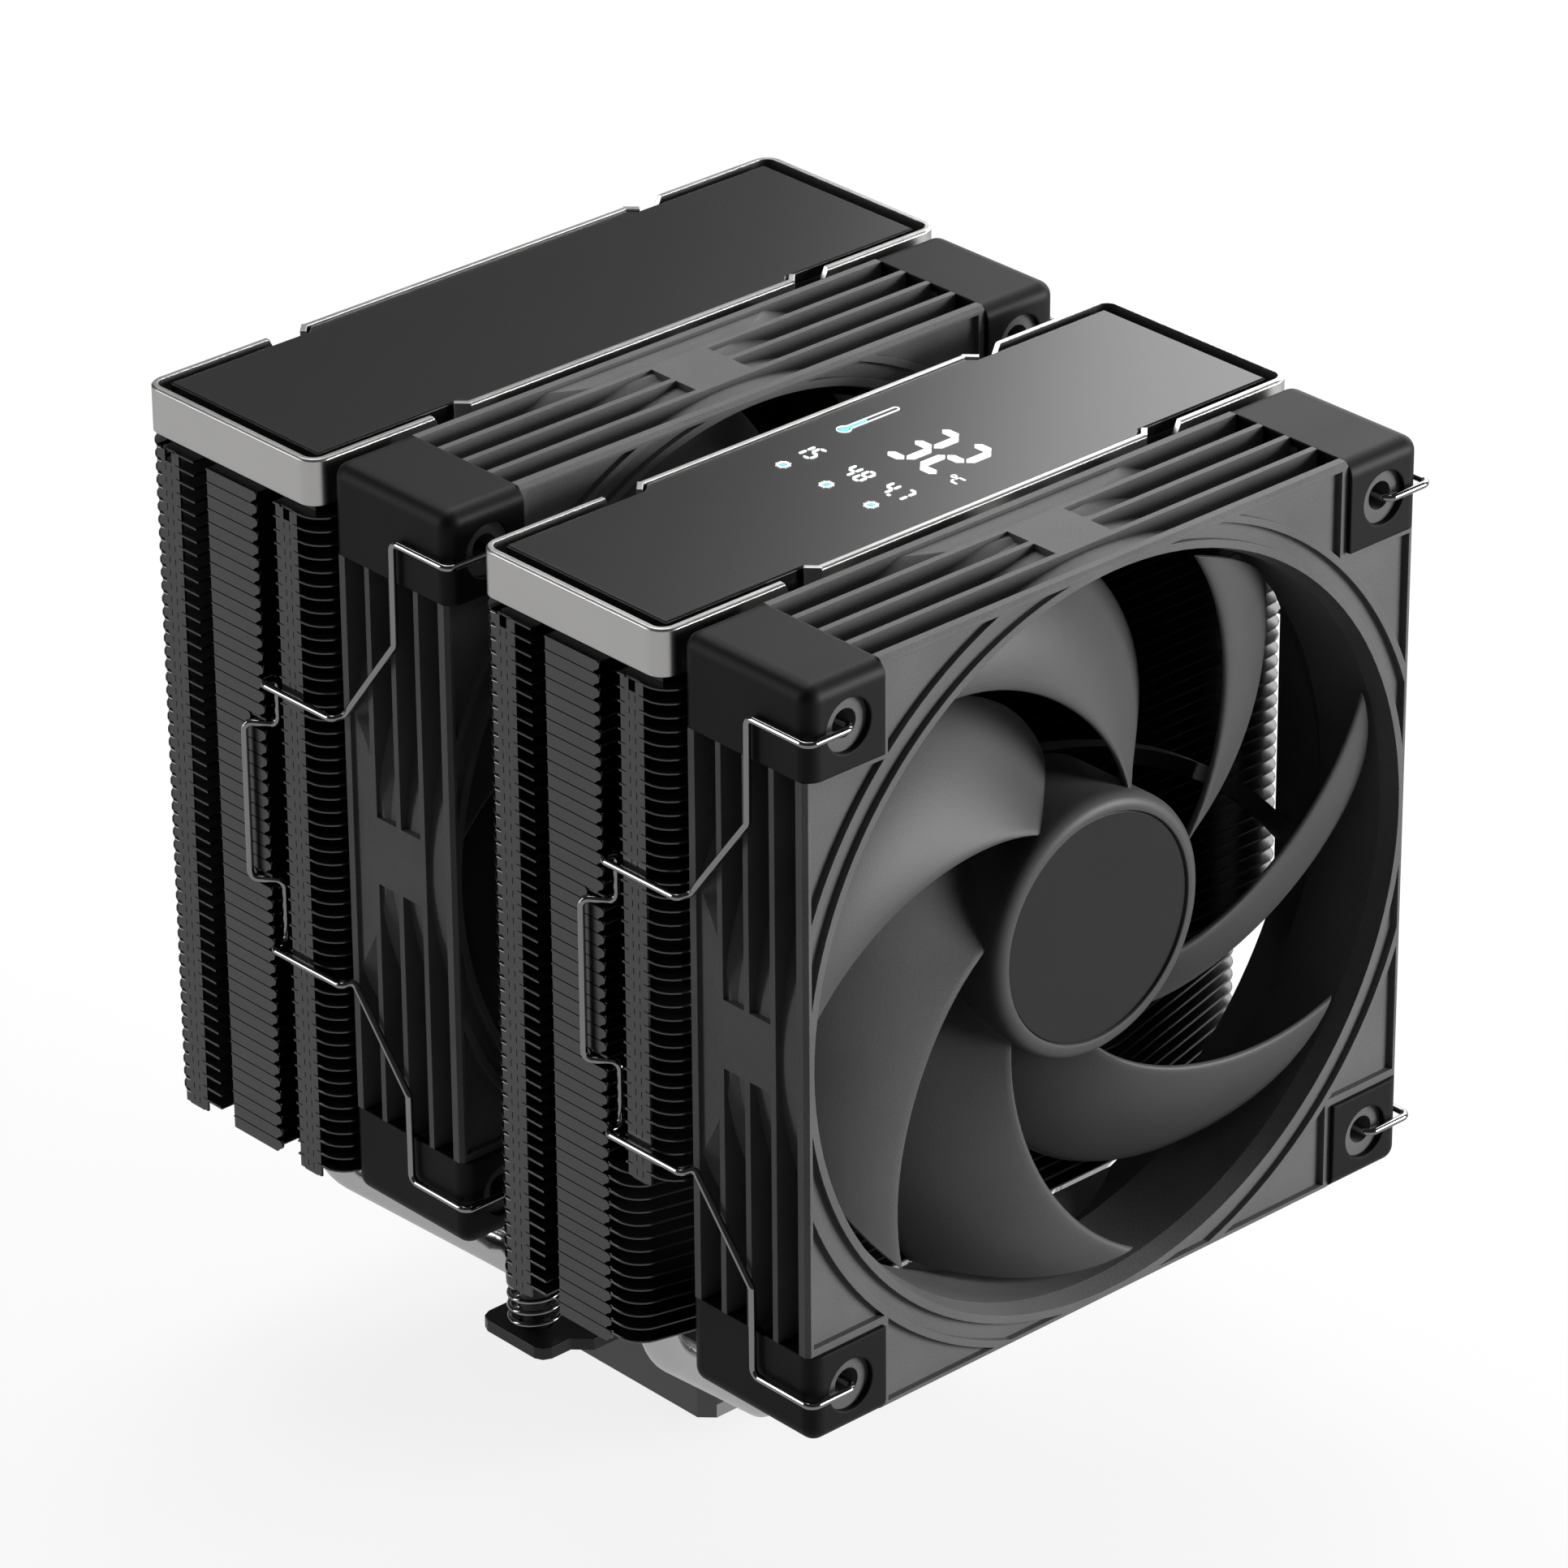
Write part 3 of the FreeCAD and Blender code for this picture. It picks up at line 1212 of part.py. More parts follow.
def main():
    make_cold_plate()
    make_base_block()
    make_heat_pipes()
    make_mounting_bar()
    make_bar_screws()
    make_fin_stack("front_fin_stack", size("front_tower_y"), True)
    make_fin_stack("rear_fin_stack", size("rear_tower_y"), False)
    make_fans()
    make_covers()
    make_wire_clips()
    make_captive_screw("left", -1)
    make_captive_screw("right", 1)
    doc.recompute()
    check_document()
    os.makedirs("parts", exist_ok=True)
    for piece in NODES:
        piece.Shape.exportStep(f"parts/{piece.Label}.step")
        print(piece.Label, len(piece.Shape.Solids), round(piece.Shape.Volume, 1))
    print(len(NODES), "nodes")


main()
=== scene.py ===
import json
import math

import bmesh
import bpy
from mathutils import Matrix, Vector


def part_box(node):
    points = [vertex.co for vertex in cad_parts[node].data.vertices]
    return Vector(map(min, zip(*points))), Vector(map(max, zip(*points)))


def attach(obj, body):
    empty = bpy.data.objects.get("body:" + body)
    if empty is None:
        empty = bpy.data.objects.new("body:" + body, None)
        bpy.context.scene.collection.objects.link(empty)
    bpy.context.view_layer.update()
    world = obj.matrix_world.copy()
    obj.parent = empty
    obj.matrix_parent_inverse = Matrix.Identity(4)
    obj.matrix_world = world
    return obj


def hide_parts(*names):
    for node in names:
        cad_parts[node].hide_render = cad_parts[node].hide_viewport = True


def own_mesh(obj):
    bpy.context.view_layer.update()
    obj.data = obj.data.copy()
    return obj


# A processor cooler with two towers and two fans. The CAD nodes get their finishes here; the fin stacks,
# the rotors and the screws' springs are drawn again in more detail; a pale studio stands around them.

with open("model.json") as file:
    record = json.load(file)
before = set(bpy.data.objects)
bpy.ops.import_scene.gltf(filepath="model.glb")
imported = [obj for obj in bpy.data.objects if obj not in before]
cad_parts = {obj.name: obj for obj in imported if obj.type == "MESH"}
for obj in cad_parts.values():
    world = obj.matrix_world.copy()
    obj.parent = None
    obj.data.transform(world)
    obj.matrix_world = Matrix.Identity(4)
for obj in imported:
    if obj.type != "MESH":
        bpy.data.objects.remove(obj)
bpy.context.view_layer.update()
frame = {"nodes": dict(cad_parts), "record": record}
nodes = frame["nodes"]
MM = 0.001

# ---------------------------------------------------------------------------
# Materials
# ---------------------------------------------------------------------------
SHADES = {
    "fan_plastic": (0.125, 0.125, 0.126),
    "pad_rubber": (0.005, 0.005, 0.005),
    "rotor_plastic": (0.072, 0.072, 0.073),
    "hub_disc": (0.006, 0.006, 0.006),
    "black_fins": (0.105, 0.105, 0.106),
    "satin_band": (0.60, 0.595, 0.585),
    "gloss_plate": (0.005, 0.005, 0.005),
    "black_plastic": (0.016, 0.016, 0.017),
    "chrome_wire": (0.30, 0.30, 0.30),
    "pipe_nickel": (0.60, 0.60, 0.60),
    "nickel_plate": (0.42, 0.42, 0.42),
    "base_nickel": (0.11, 0.11, 0.11),
    "black_steel": (0.020, 0.020, 0.020),
    "screw_steel": (0.40, 0.40, 0.41),
    "core_steel": (0.22, 0.22, 0.23),
    "magnet": (0.10, 0.10, 0.105),
    "copper_wire": (0.55, 0.20, 0.07),
    "bearing_bronze": (0.48, 0.30, 0.13),
    "circuit_board": (0.010, 0.045, 0.025),
    "clip_plastic": (0.62, 0.61, 0.58),
    "figure_white": (0.85, 0.88, 0.90),
    "figure_cyan": (0.18, 0.66, 0.70),
}


def add_node(tree, kind, **inputs):
    """A shader node with some of its inputs set, by name with underscores for spaces."""
    node = tree.nodes.new(kind)
    for name, value in inputs.items():
        node.inputs[name.replace("_", " ")].default_value = value
    return node


# Two noises of 0 to 1 are added, so that their sum runs up to this.
NOISE_TOP = 2.0
BLOTCH_MM = 14.0
BLOTCH_DETAIL = 4.0
LEAST_ROUGHNESS = 0.02
COAT_ROUGHNESS = 0.1
EDGE_SAMPLES = 4


def surface_noise(tree, coordinates, feature_mm, detail=3.0, stretch=(1, 1, 1)):
    """Noise with features of about this size on the real object."""
    mapping = add_node(tree, "ShaderNodeMapping")
    mapping.inputs["Scale"].default_value = stretch
    noise = add_node(tree, "ShaderNodeTexNoise", Scale=1.0 / (feature_mm * MM), Detail=detail)
    tree.links.new(coordinates, mapping.inputs["Vector"])
    tree.links.new(mapping.outputs["Vector"], noise.inputs["Vector"])
    return noise.outputs["Fac"]


def make_material(name, shade, roughness, metallic=0.0, specular=0.5, grain_mm=0.35, grain_depth_mm=0.01,
                  rough_spread=0.08, tone_spread=0.10, edge_mm=0.25, coat=0.0, stretch=(1, 1, 1),
                  glow=0.0):
    """A surface with fine grain, slow changes of tone and roughness, and softly rounded edges."""
    material = bpy.data.materials.new(name)
    material.use_nodes = True
    tree = material.node_tree
    tree.nodes.clear()
    output = add_node(tree, "ShaderNodeOutputMaterial")
    shader = add_node(tree, "ShaderNodeBsdfPrincipled", Metallic=metallic)
    shader.inputs["Specular IOR Level"].default_value = specular
    shader.inputs["Coat Weight"].default_value = coat
    shader.inputs["Coat Roughness"].default_value = COAT_ROUGHNESS
    tree.links.new(shader.outputs["BSDF"], output.inputs["Surface"])
    coordinates = add_node(tree, "ShaderNodeTexCoord").outputs["Object"]
    grain = surface_noise(tree, coordinates, grain_mm, stretch=stretch)
    blotch = surface_noise(tree, coordinates, BLOTCH_MM, detail=BLOTCH_DETAIL)
    mixed = add_node(tree, "ShaderNodeMath")
    mixed.operation = "ADD"
    tree.links.new(grain, mixed.inputs[0])
    tree.links.new(blotch, mixed.inputs[1])
    tone = add_node(tree, "ShaderNodeMapRange")
    tone.inputs["From Max"].default_value = NOISE_TOP
    tone.inputs["To Min"].default_value = 1.0 - tone_spread
    tone.inputs["To Max"].default_value = 1.0 + tone_spread
    tree.links.new(mixed.outputs["Value"], tone.inputs["Value"])
    tint = add_node(tree, "ShaderNodeMix")
    tint.data_type = "RGBA"
    tint.blend_type = "MULTIPLY"
    tint.inputs["Factor"].default_value = 1.0
    colour_sockets = [socket for socket in tint.inputs if socket.type == "RGBA"]
    colour_sockets[0].default_value = (*shade, 1.0)
    tree.links.new(tone.outputs["Result"], colour_sockets[1])
    colour_out = [socket for socket in tint.outputs if socket.type == "RGBA"][0]
    tree.links.new(colour_out, shader.inputs["Base Color"])
    rough = add_node(tree, "ShaderNodeMapRange")
    rough.inputs["From Max"].default_value = NOISE_TOP
    rough.inputs["To Min"].default_value = max(roughness - rough_spread, LEAST_ROUGHNESS)
    rough.inputs["To Max"].default_value = roughness + rough_spread
    tree.links.new(mixed.outputs["Value"], rough.inputs["Value"])
    tree.links.new(rough.outputs["Result"], shader.inputs["Roughness"])
    bump = add_node(tree, "ShaderNodeBump", Strength=1.0, Distance=grain_depth_mm * MM)
    tree.links.new(grain, bump.inputs["Height"])
    if edge_mm:
        rounded = add_node(tree, "ShaderNodeBevel", Radius=edge_mm * MM)
        rounded.samples = EDGE_SAMPLES
        tree.links.new(rounded.outputs["Normal"], bump.inputs["Normal"])
    tree.links.new(bump.outputs["Normal"], shader.inputs["Normal"])
    if glow:
        shader.inputs["Emission Color"].default_value = (*shade, 1.0)
        shader.inputs["Emission Strength"].default_value = glow
    return material


FINISHES = {
    "fan_plastic": dict(roughness=0.50, specular=0.22, grain_mm=0.26, grain_depth_mm=0.045,
                        rough_spread=0.12, tone_spread=0.55, edge_mm=0.12),
    "pad_rubber": dict(roughness=0.50, specular=0.16, grain_mm=0.16, grain_depth_mm=0.006, edge_mm=0.45),
    "rotor_plastic": dict(roughness=0.45, specular=0.24, grain_mm=0.22, grain_depth_mm=0.020,
                          tone_spread=0.35, edge_mm=0.20),
    "hub_disc": dict(roughness=0.25, grain_mm=0.12, grain_depth_mm=0.003, edge_mm=0.15),
    "black_fins": dict(roughness=0.24, metallic=0.90, specular=0.6, grain_mm=0.30, grain_depth_mm=0.004,
                       tone_spread=0.15, edge_mm=0.0),
    "satin_band": dict(roughness=0.30, metallic=1.0, grain_mm=0.20, grain_depth_mm=0.003, tone_spread=0.03,
                       stretch=(0.08, 0.08, 1.0), edge_mm=0.20),
    "gloss_plate": dict(roughness=0.27, grain_mm=0.40, grain_depth_mm=0.0001, rough_spread=0.01,
                        tone_spread=0.06, edge_mm=0.15),
    "black_plastic": dict(roughness=0.40, grain_mm=0.20, grain_depth_mm=0.008, edge_mm=0.20),
    "chrome_wire": dict(roughness=0.09, metallic=1.0, grain_mm=0.25, grain_depth_mm=0.002,
                        rough_spread=0.04, tone_spread=0.04, edge_mm=0.0),
    "pipe_nickel": dict(roughness=0.20, metallic=1.0, grain_mm=0.30, grain_depth_mm=0.004,
                        rough_spread=0.07, tone_spread=0.06, edge_mm=0.0),
    "nickel_plate": dict(roughness=0.22, metallic=1.0, grain_mm=0.12, grain_depth_mm=0.004,
                         stretch=(0.05, 1.0, 1.0), edge_mm=0.15),
    "base_nickel": dict(roughness=0.38, metallic=0.9, grain_mm=0.20, grain_depth_mm=0.005, edge_mm=0.25),
    "black_steel": dict(roughness=0.36, metallic=0.3, grain_mm=0.18, grain_depth_mm=0.010, edge_mm=0.25),
    "screw_steel": dict(roughness=0.25, metallic=1.0, edge_mm=0.10),
    "core_steel": dict(roughness=0.40, metallic=1.0, stretch=(1.0, 6.0, 1.0), edge_mm=0.0),
    "magnet": dict(roughness=0.40, metallic=0.8, edge_mm=0.10),
    "copper_wire": dict(roughness=0.30, metallic=0.9, grain_mm=0.25, grain_depth_mm=0.05,
                        stretch=(1.0, 0.2, 1.0), edge_mm=0.0),
    "bearing_bronze": dict(roughness=0.45, metallic=1.0, grain_mm=0.10, grain_depth_mm=0.01, edge_mm=0.0),
    "circuit_board": dict(roughness=0.35, coat=0.3, edge_mm=0.0),
    "clip_plastic": dict(roughness=0.45, edge_mm=0.0),
    "figure_white": dict(roughness=0.35, edge_mm=0.0, tone_spread=0.03, glow=0.80),
    "figure_cyan": dict(roughness=0.35, edge_mm=0.0, tone_spread=0.03, glow=0.30),
}
MATERIALS = {name: make_material(name, SHADES[name], **finish) for name, finish in FINISHES.items()}
# The record's slots whose finish here goes by another name.
SLOT_FINISH = {"black_screw": "black_steel", "spring_steel": "chrome_wire", "socket_metal": "screw_steel",
               "display_light": "figure_white", "display_cyan": "figure_cyan"}


def finish_for(slot):
    return MATERIALS[SLOT_FINISH.get(slot, slot)]


def paint_nodes():
    """Give every CAD node the finish of its slot in the record."""
    for part in frame["record"]["subparts"]:
        mesh = nodes[part["node"]].data
        mesh.materials.clear()
        mesh.materials.append(finish_for(part["material_slot"]))


# ---------------------------------------------------------------------------
# Mesh helpers
# ---------------------------------------------------------------------------
TURN_STEPS = 160
# Edges that bend by more than this many degrees stay crisp.
FIN_CREASE = 20.0
ROTOR_CREASE = 40.0
SPRING_CREASE = 60.0


def add_piece(name, mesh_builder, body, slot, replaced, crease):
    """Turn a bmesh into a piece that rides on a body and stands for some CAD nodes."""
    bmesh.ops.recalc_face_normals(mesh_builder, faces=mesh_builder.faces)
    for face in mesh_builder.faces:
        face.smooth = True
    limit = math.radians(crease)
    for edge in mesh_builder.edges:
        if len(edge.link_faces) == 2 and edge.calc_face_angle(0.0) > limit:
            edge.smooth = False
    mesh = bpy.data.meshes.new(name)
    mesh_builder.to_mesh(mesh)
    mesh_builder.free()
    piece = bpy.data.objects.new(name, mesh)
    bpy.context.scene.collection.objects.link(piece)
    mesh.materials.append(finish_for(slot))
    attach(piece, body)
    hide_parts(*replaced)
    return piece


def add_ring_stack(builder, rings):
    """Join closed loops of equal length into a skin, capped at both ends."""
    loops = [[builder.verts.new(point) for point in ring] for ring in rings]
    count = len(loops[0])
    for lower, upper in zip(loops, loops[1:]):
        for i in range(count):
            j = (i + 1) % count
            builder.faces.new((lower[i], lower[j], upper[j], upper[i]))
    builder.faces.new(loops[0][::-1])
    builder.faces.new(loops[-1])


def add_turned(builder, profile, centre):
    """Turn a closed (radius, depth) profile about a line along Y through centre."""
    loops = []
    for k in range(TURN_STEPS):
        angle = 2 * math.pi * k / TURN_STEPS
        loops.append([builder.verts.new((centre.x + r * math.cos(angle), centre.y + y,
                                         centre.z + r * math.sin(angle))) for r, y in profile])
    count = len(profile)
    for k in range(TURN_STEPS):
        here, after = loops[k], loops[(k + 1) % TURN_STEPS]
        for i in range(count):
            j = (i + 1) % count
            builder.faces.new((here[i], here[j], after[j], after[i]))


# ---------------------------------------------------------------------------
# Fin stacks: thin plates with bevelled rims and folded, interlocking side tabs
# ---------------------------------------------------------------------------
FIN_COUNT = 51
FIN_THICKNESS = 0.4 * MM
FIN_BEVEL = 0.09 * MM
FIN_CORNER = 4.5 * MM
CORNER_STEPS = 6
TAB_THICKNESS = 0.4 * MM
# How far the CAD fin's folded tabs stop short of the fin below.
FOLD_GAP = 0.04 * MM
# How far a fin's edge stands back behind the tabs' outer faces.
EDGE_SHY = 0.22 * MM
# Stretches along the tower's depth, from its middle, front to rear.
FRONT_STRIP = (-15.4 * MM, -10.6 * MM)
CLIP_GROOVE = (-10.0 * MM, -6.3 * MM)
CLIP_GROOVE_DEPTH = 2.9 * MM
PANEL = (-6.2 * MM, 5.2 * MM)
REAR_GROOVE = (5.4 * MM, 8.3 * MM)
REAR_GROOVE_DEPTH = 3.2 * MM
REAR_STRIP = (11.7 * MM, 16.8 * MM)
# The lower fins of the front stack are cut back in front: up to where, how steeply, from how far out,
# and how far ahead of the panel the cut meets the side.
RELIEF_TOP = 72.0 * MM
NO_RELIEF = 0.0
RELIEF_SLOPE = 0.273
RELIEF_FOOT_X = 27.0 * MM
RELIEF_SHOULDER = 1.6 * MM
# The divisor of a corner's step is kept above this, so that a sharp corner doesn't move too far.
LEAST_DIVISOR = 0.4


def arc_points(centre, radius, start, end):
    turn = [math.radians(start + (end - start) * k / CORNER_STEPS) for k in range(CORNER_STEPS + 1)]
    return [(centre[0] + radius * math.cos(a), centre[1] + radius * math.sin(a)) for a in turn]


def side_outline(half, tower_y, front, rear, relieved):
    """The right-hand edge of a fin from its front corner to its rear corner."""
    def step(stretch, inset):
        low, high = (tower_y + v for v in stretch)
        return [(half, low), (half - inset, low), (half - inset, high), (half, high)]

    points = []
    if relieved:
        shoulder = tower_y + PANEL[0] - RELIEF_SHOULDER
        slant = math.atan(RELIEF_SLOPE)
        turn = 90.0 - math.degrees(slant)
        centre = (half - FIN_CORNER, shoulder)
        corner = arc_points(centre, FIN_CORNER, -turn, 0)
        foot_rise = corner[0][1] - (corner[0][0] - RELIEF_FOOT_X) * RELIEF_SLOPE
        points.append((RELIEF_FOOT_X, max(front, foot_rise)))
        points += corner
    else:
        points += arc_points((half - FIN_CORNER, front + FIN_CORNER), FIN_CORNER, -90, 0)
        points += step(FRONT_STRIP, EDGE_SHY)
        points += step(CLIP_GROOVE, CLIP_GROOVE_DEPTH)
    points += step(PANEL, EDGE_SHY)
    points += step(REAR_GROOVE, REAR_GROOVE_DEPTH)
    points += step(REAR_STRIP, EDGE_SHY)
    points += arc_points((half - FIN_CORNER, rear - FIN_CORNER), FIN_CORNER, 0, 90)
    return points


def shrink(outline, amount):
    """The outline moved inwards by amount; it runs anticlockwise."""
    moved = []
    count = len(outline)
    for i, (x, y) in enumerate(outline):
        before, after = outline[i - 1], outline[(i + 1) % count]
        normals = []
        for (ax, ay), (bx, by) in ((before, (x, y)), ((x, y), after)):
            length = math.hypot(bx - ax, by - ay) or 1.0
            normals.append((-(by - ay) / length, (bx - ax) / length))
        nx = normals[0][0] + normals[1][0]
        ny = normals[0][1] + normals[1][1]
        scale = amount / max((nx * nx + ny * ny) / 2, LEAST_DIVISOR)
        moved.append((x + nx * scale, y + ny * scale))
    return moved


def add_fin(builder, outline, low_z):
    inner = shrink(outline, FIN_BEVEL)
    levels = [(inner, 0.0), (outline, FIN_BEVEL), (outline, FIN_THICKNESS - FIN_BEVEL),
              (inner, FIN_THICKNESS)]
    rings = [[(x, y, low_z + rise) for x, y in loop] for loop, rise in levels]
    add_ring_stack(builder, rings)


def add_sheet(builder, side, face_x, ys, zs, removed):
    """A thin upright sheet made of cells between the ys and zs; removed cells are openings."""
    depth_xs = (face_x, face_x - side * TAB_THICKNESS)
    corners = {}

    def corner(i, j, layer):
        key = (i, j, layer)
        if key not in corners:
            corners[key] = builder.verts.new((depth_xs[layer], ys[i], zs[j]))
        return corners[key]

    columns, rows = len(ys) - 1, len(zs) - 1
    for i in range(columns):
        for j in range(rows):
            if (i, j) in removed:
                continue
            square = ((i, j), (i + 1, j), (i + 1, j + 1), (i, j + 1))
            for layer in (0, 1):
                builder.faces.new([corner(a, b, layer) for a, b in square])
            neighbours = ((i, j - 1), (i + 1, j), (i, j + 1), (i - 1, j))
            for k, (ni, nj) in enumerate(neighbours):
                outside = not (0 <= ni < columns and 0 <= nj < rows)
                if outside or (ni, nj) in removed:
                    a, b = square[k], square[(k + 1) % 4]
                    builder.faces.new((corner(*a, 0), corner(*b, 0), corner(*b, 1), corner(*a, 1)))


# Openings in a strip at every level: a tick at each edge, where two tabs meet, and two upright slits.
TICK_REACH = 0.9 * MM
TICK_HEIGHT = 0.16 * MM
SLIT_WIDTH = 0.16 * MM
# Shares of a strip's width where its slits run, and of a level's height that they span.
SLIT_COLUMNS = (0.36, 0.62)
SLIT_SPAN = (0.38, 0.86)


def add_strip(builder, side, half, stretch, bottom, pitch, levels):
    """A column of interlocked tabs: ticks at both edges, two rows of slits, a notch at the top."""
    low, high = stretch
    width = high - low
    slit_a, slit_b = (low + share * width for share in SLIT_COLUMNS)
    ys = [low, low + TICK_REACH, slit_a - SLIT_WIDTH / 2, slit_a + SLIT_WIDTH / 2,
          slit_b - SLIT_WIDTH / 2, slit_b + SLIT_WIDTH / 2, high - TICK_REACH, high]
    zs = []
    removed = set()
    for k in range(levels):
        base = bottom + pitch * k
        row = len(zs)
        zs += [base, base + TICK_HEIGHT]
        zs += [base + share * pitch for share in SLIT_SPAN]
        removed |= {(0, row), (6, row), (2, row + 2), (4, row + 2)}
        if k == levels - 1:
            removed |= {(c, r) for c in (2, 3, 4) for r in (row + 1, row + 2, row + 3)}
            removed |= {(1, row + 3), (5, row + 3)}
    zs.append(bottom + pitch * levels)
    add_sheet(builder, side, side * half, ys, zs, removed)


# The open line below each panel tab.
PANEL_GAP = 0.18 * MM
# Levels, counted from the foot, whose panel tabs stand back to let the clip's handle through.
HANDLE_LEVELS = (21, 33)
HANDLE_EDGE = -2.7 * MM
# The panel tabs' front edge, from foot to top: set-back and share of the height.
PANEL_EDGE = [(1.25, 0.0), (1.15, 0.12), (0.75, 0.26), (0.25, 0.40), (0.05, 0.55), (0.0, 0.80), (0.45, 1.0)]


def add_panel_tab(builder, side, half, stretch, low_z, height):
    low, high = stretch
    face = [(low + back * MM, low_z + height * share) for back, share in PANEL_EDGE]
    face += [(high, low_z + height), (high, low_z)]
    rings = [[(x, y, z) for y, z in face] for x in (side * half, side * (half - TAB_THICKNESS))]
    add_ring_stack(builder, rings)


def build_fin_stack(node, relieved_below):
    low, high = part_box(node)
    half = high.x
    tower_y = (low.y + high.y) / 2
    pitch = (high.z - low.z + FOLD_GAP) / FIN_COUNT
    builder = bmesh.new()
    bottom = high.z - pitch * FIN_COUNT
    relieved_levels = 0
    for k in range(FIN_COUNT):
        fin_z = bottom + pitch * (k + 1) - FIN_THICKNESS
        relieved = fin_z < relieved_below
        relieved_levels += relieved
        right = side_outline(half, tower_y, low.y, high.y, relieved)
        left = [(-x, y) for x, y in reversed(right)]
        add_fin(builder, right + left, fin_z)
        tab_front = HANDLE_EDGE if k in HANDLE_LEVELS else PANEL[0]
        for side in (-1, 1):
            stretch = (tower_y + tab_front, tower_y + PANEL[1])
            add_panel_tab(builder, side, half, stretch, bottom + pitch * k + PANEL_GAP, pitch - PANEL_GAP)
    strips = [(REAR_STRIP, 0), (FRONT_STRIP, relieved_levels)]
    for stretch, first in strips:
        place = tuple(tower_y + v for v in stretch)
        for side in (-1, 1):
            add_strip(builder, side, half, place, bottom + pitch * first, pitch, FIN_COUNT - first)
    return add_piece(node.replace("stack", "pack"), builder, "cooler", "black_fins", [node], FIN_CREASE)


# ---------------------------------------------------------------------------
# Rotors: a turned hub with seven swept blades
# ---------------------------------------------------------------------------
BLADES = 7
BLADE_LEAD = 20.4
TIP_RADIUS = 56.3
ROOT_RADIUS = 19.9
BLADE_THICKNESS = 1.5
# The angles of a blade's edges in degrees, by the share of the way in from the tip: for the leading
# edge what multiplies that share, its square and its cube, for the trailing edge a start and a slope.
LEAD_SWEEP = (51.0, -20.0, 25.0)
TRAIL_SWEEP = (35.0, 62.5)
# How deep a blade's front and back edges lie at the tip, and how much deeper at the root, in
# millimetres.
FRONT_EDGE = (3.0, 3.0)
BACK_EDGE = (16.0, 3.6)
# The power with which the depth grows from front to back at the tip, and what it loses at the root.
CAMBER = (1.9, 0.75)
# Shares of the chord over which the nose and the tail are rounded.
NOSE_SHARE = 0.05
TAIL_SHARE = 0.04
# Shares of the full thickness: at the tip, gained toward the root, and lost toward the tail.
TIP_THICKNESS = 0.62
ROOT_GAIN = 0.38
TAIL_LOSS = 0.25
SPAN_STEPS = 22
# Places along a blade's chord, closer together where the nose and the tail are rounded.
CHORD_STATIONS = (0.0, 0.006, 0.02, 0.045, 0.09, 0.16, 0.25, 0.35, 0.45, 0.55, 0.65, 0.75, 0.84, 0.91,
                  0.955, 0.98, 0.994, 1.0)
# The hub's section: radius from the axis and depth behind the fan's front face, in millimetres.
HUB_PROFILE = [(17.85, 4.8), (17.88, 4.25), (18.0, 4.02), (18.3, 3.95), (19.0, 4.0), (19.7, 4.3),
               (20.25, 4.85), (20.52, 5.5), (20.6, 6.3), (20.6, 21.2), (20.4, 21.4), (19.1, 21.4),
               (19.0, 21.3), (19.0, 6.6), (3.5, 6.6), (3.5, 8.9), (1.52, 8.9), (1.52, 4.8)]
HUB_BACK = 21.4


def blade_middle(inward, along):
    """A point of a blade's middle surface: inward is 0 at the tip, along is 0 at the leading edge."""
    radius = TIP_RADIUS - (TIP_RADIUS - ROOT_RADIUS) * inward
    lead = sum(factor * inward ** (power + 1) for power, factor in enumerate(LEAD_SWEEP))
    trail = TRAIL_SWEEP[0] + TRAIL_SWEEP[1] * inward
    angle = -math.radians(lead + (trail - lead) * along)
    front = FRONT_EDGE[0] + FRONT_EDGE[1] * inward
    back = BACK_EDGE[0] + BACK_EDGE[1] * inward
    bend = CAMBER[0] - CAMBER[1] * inward
    depth = front + (back - front) * along ** bend + BLADE_THICKNESS / 2
    return Vector((radius * math.cos(angle), depth, radius * math.sin(angle)))


def blade_half_thickness(inward, along):
    nose = min(1.0, along / NOSE_SHARE)
    tail = min(1.0, (1.0 - along) / TAIL_SHARE)
    roundness = math.sqrt(1 - (1 - nose) ** 2) * math.sqrt(1 - (1 - tail) ** 2)
    body = BLADE_THICKNESS / 2 * (TIP_THICKNESS + ROOT_GAIN * inward) * (1.0 - TAIL_LOSS * along)
    return body * roundness


def add_blade(builder, centre, turn):
    spin = math.radians(turn)
    cos, sin = math.cos(spin), math.sin(spin)
    rings = []
    for i in range(SPAN_STEPS + 1):
        inward = i / SPAN_STEPS
        front, back = [], []
        for along in CHORD_STATIONS:
            middle = blade_middle(inward, along)
            half = blade_half_thickness(inward, along)
            front.append(middle - Vector((0, half, 0)))
            back.append(middle + Vector((0, half, 0)))
        ring = front + back[-2:0:-1]
        turned = [Vector((p.x * cos - p.z * sin, p.y, p.x * sin + p.z * cos)) for p in ring]
        rings.append([centre + MM * point for point in turned])
    add_ring_stack(builder, rings)


def build_rotor(fan):
    low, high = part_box(f"{fan}_rotor")
    disc_low, disc_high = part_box(f"{fan}_hub_disc")
    centre = Vector(((disc_low.x + disc_high.x) / 2, high.y - HUB_BACK * MM, (disc_low.z + disc_high.z) / 2))
    builder = bmesh.new()
    add_turned(builder, [(r * MM, y * MM) for r, y in HUB_PROFILE], centre)
    for k in range(BLADES):
        add_blade(builder, centre, BLADE_LEAD - 360.0 / BLADES * k)
    return add_piece(f"{fan}_rotor_visual", builder, f"{fan}_rotor_body", "rotor_plastic",
                     [f"{fan}_rotor"], ROTOR_CREASE)


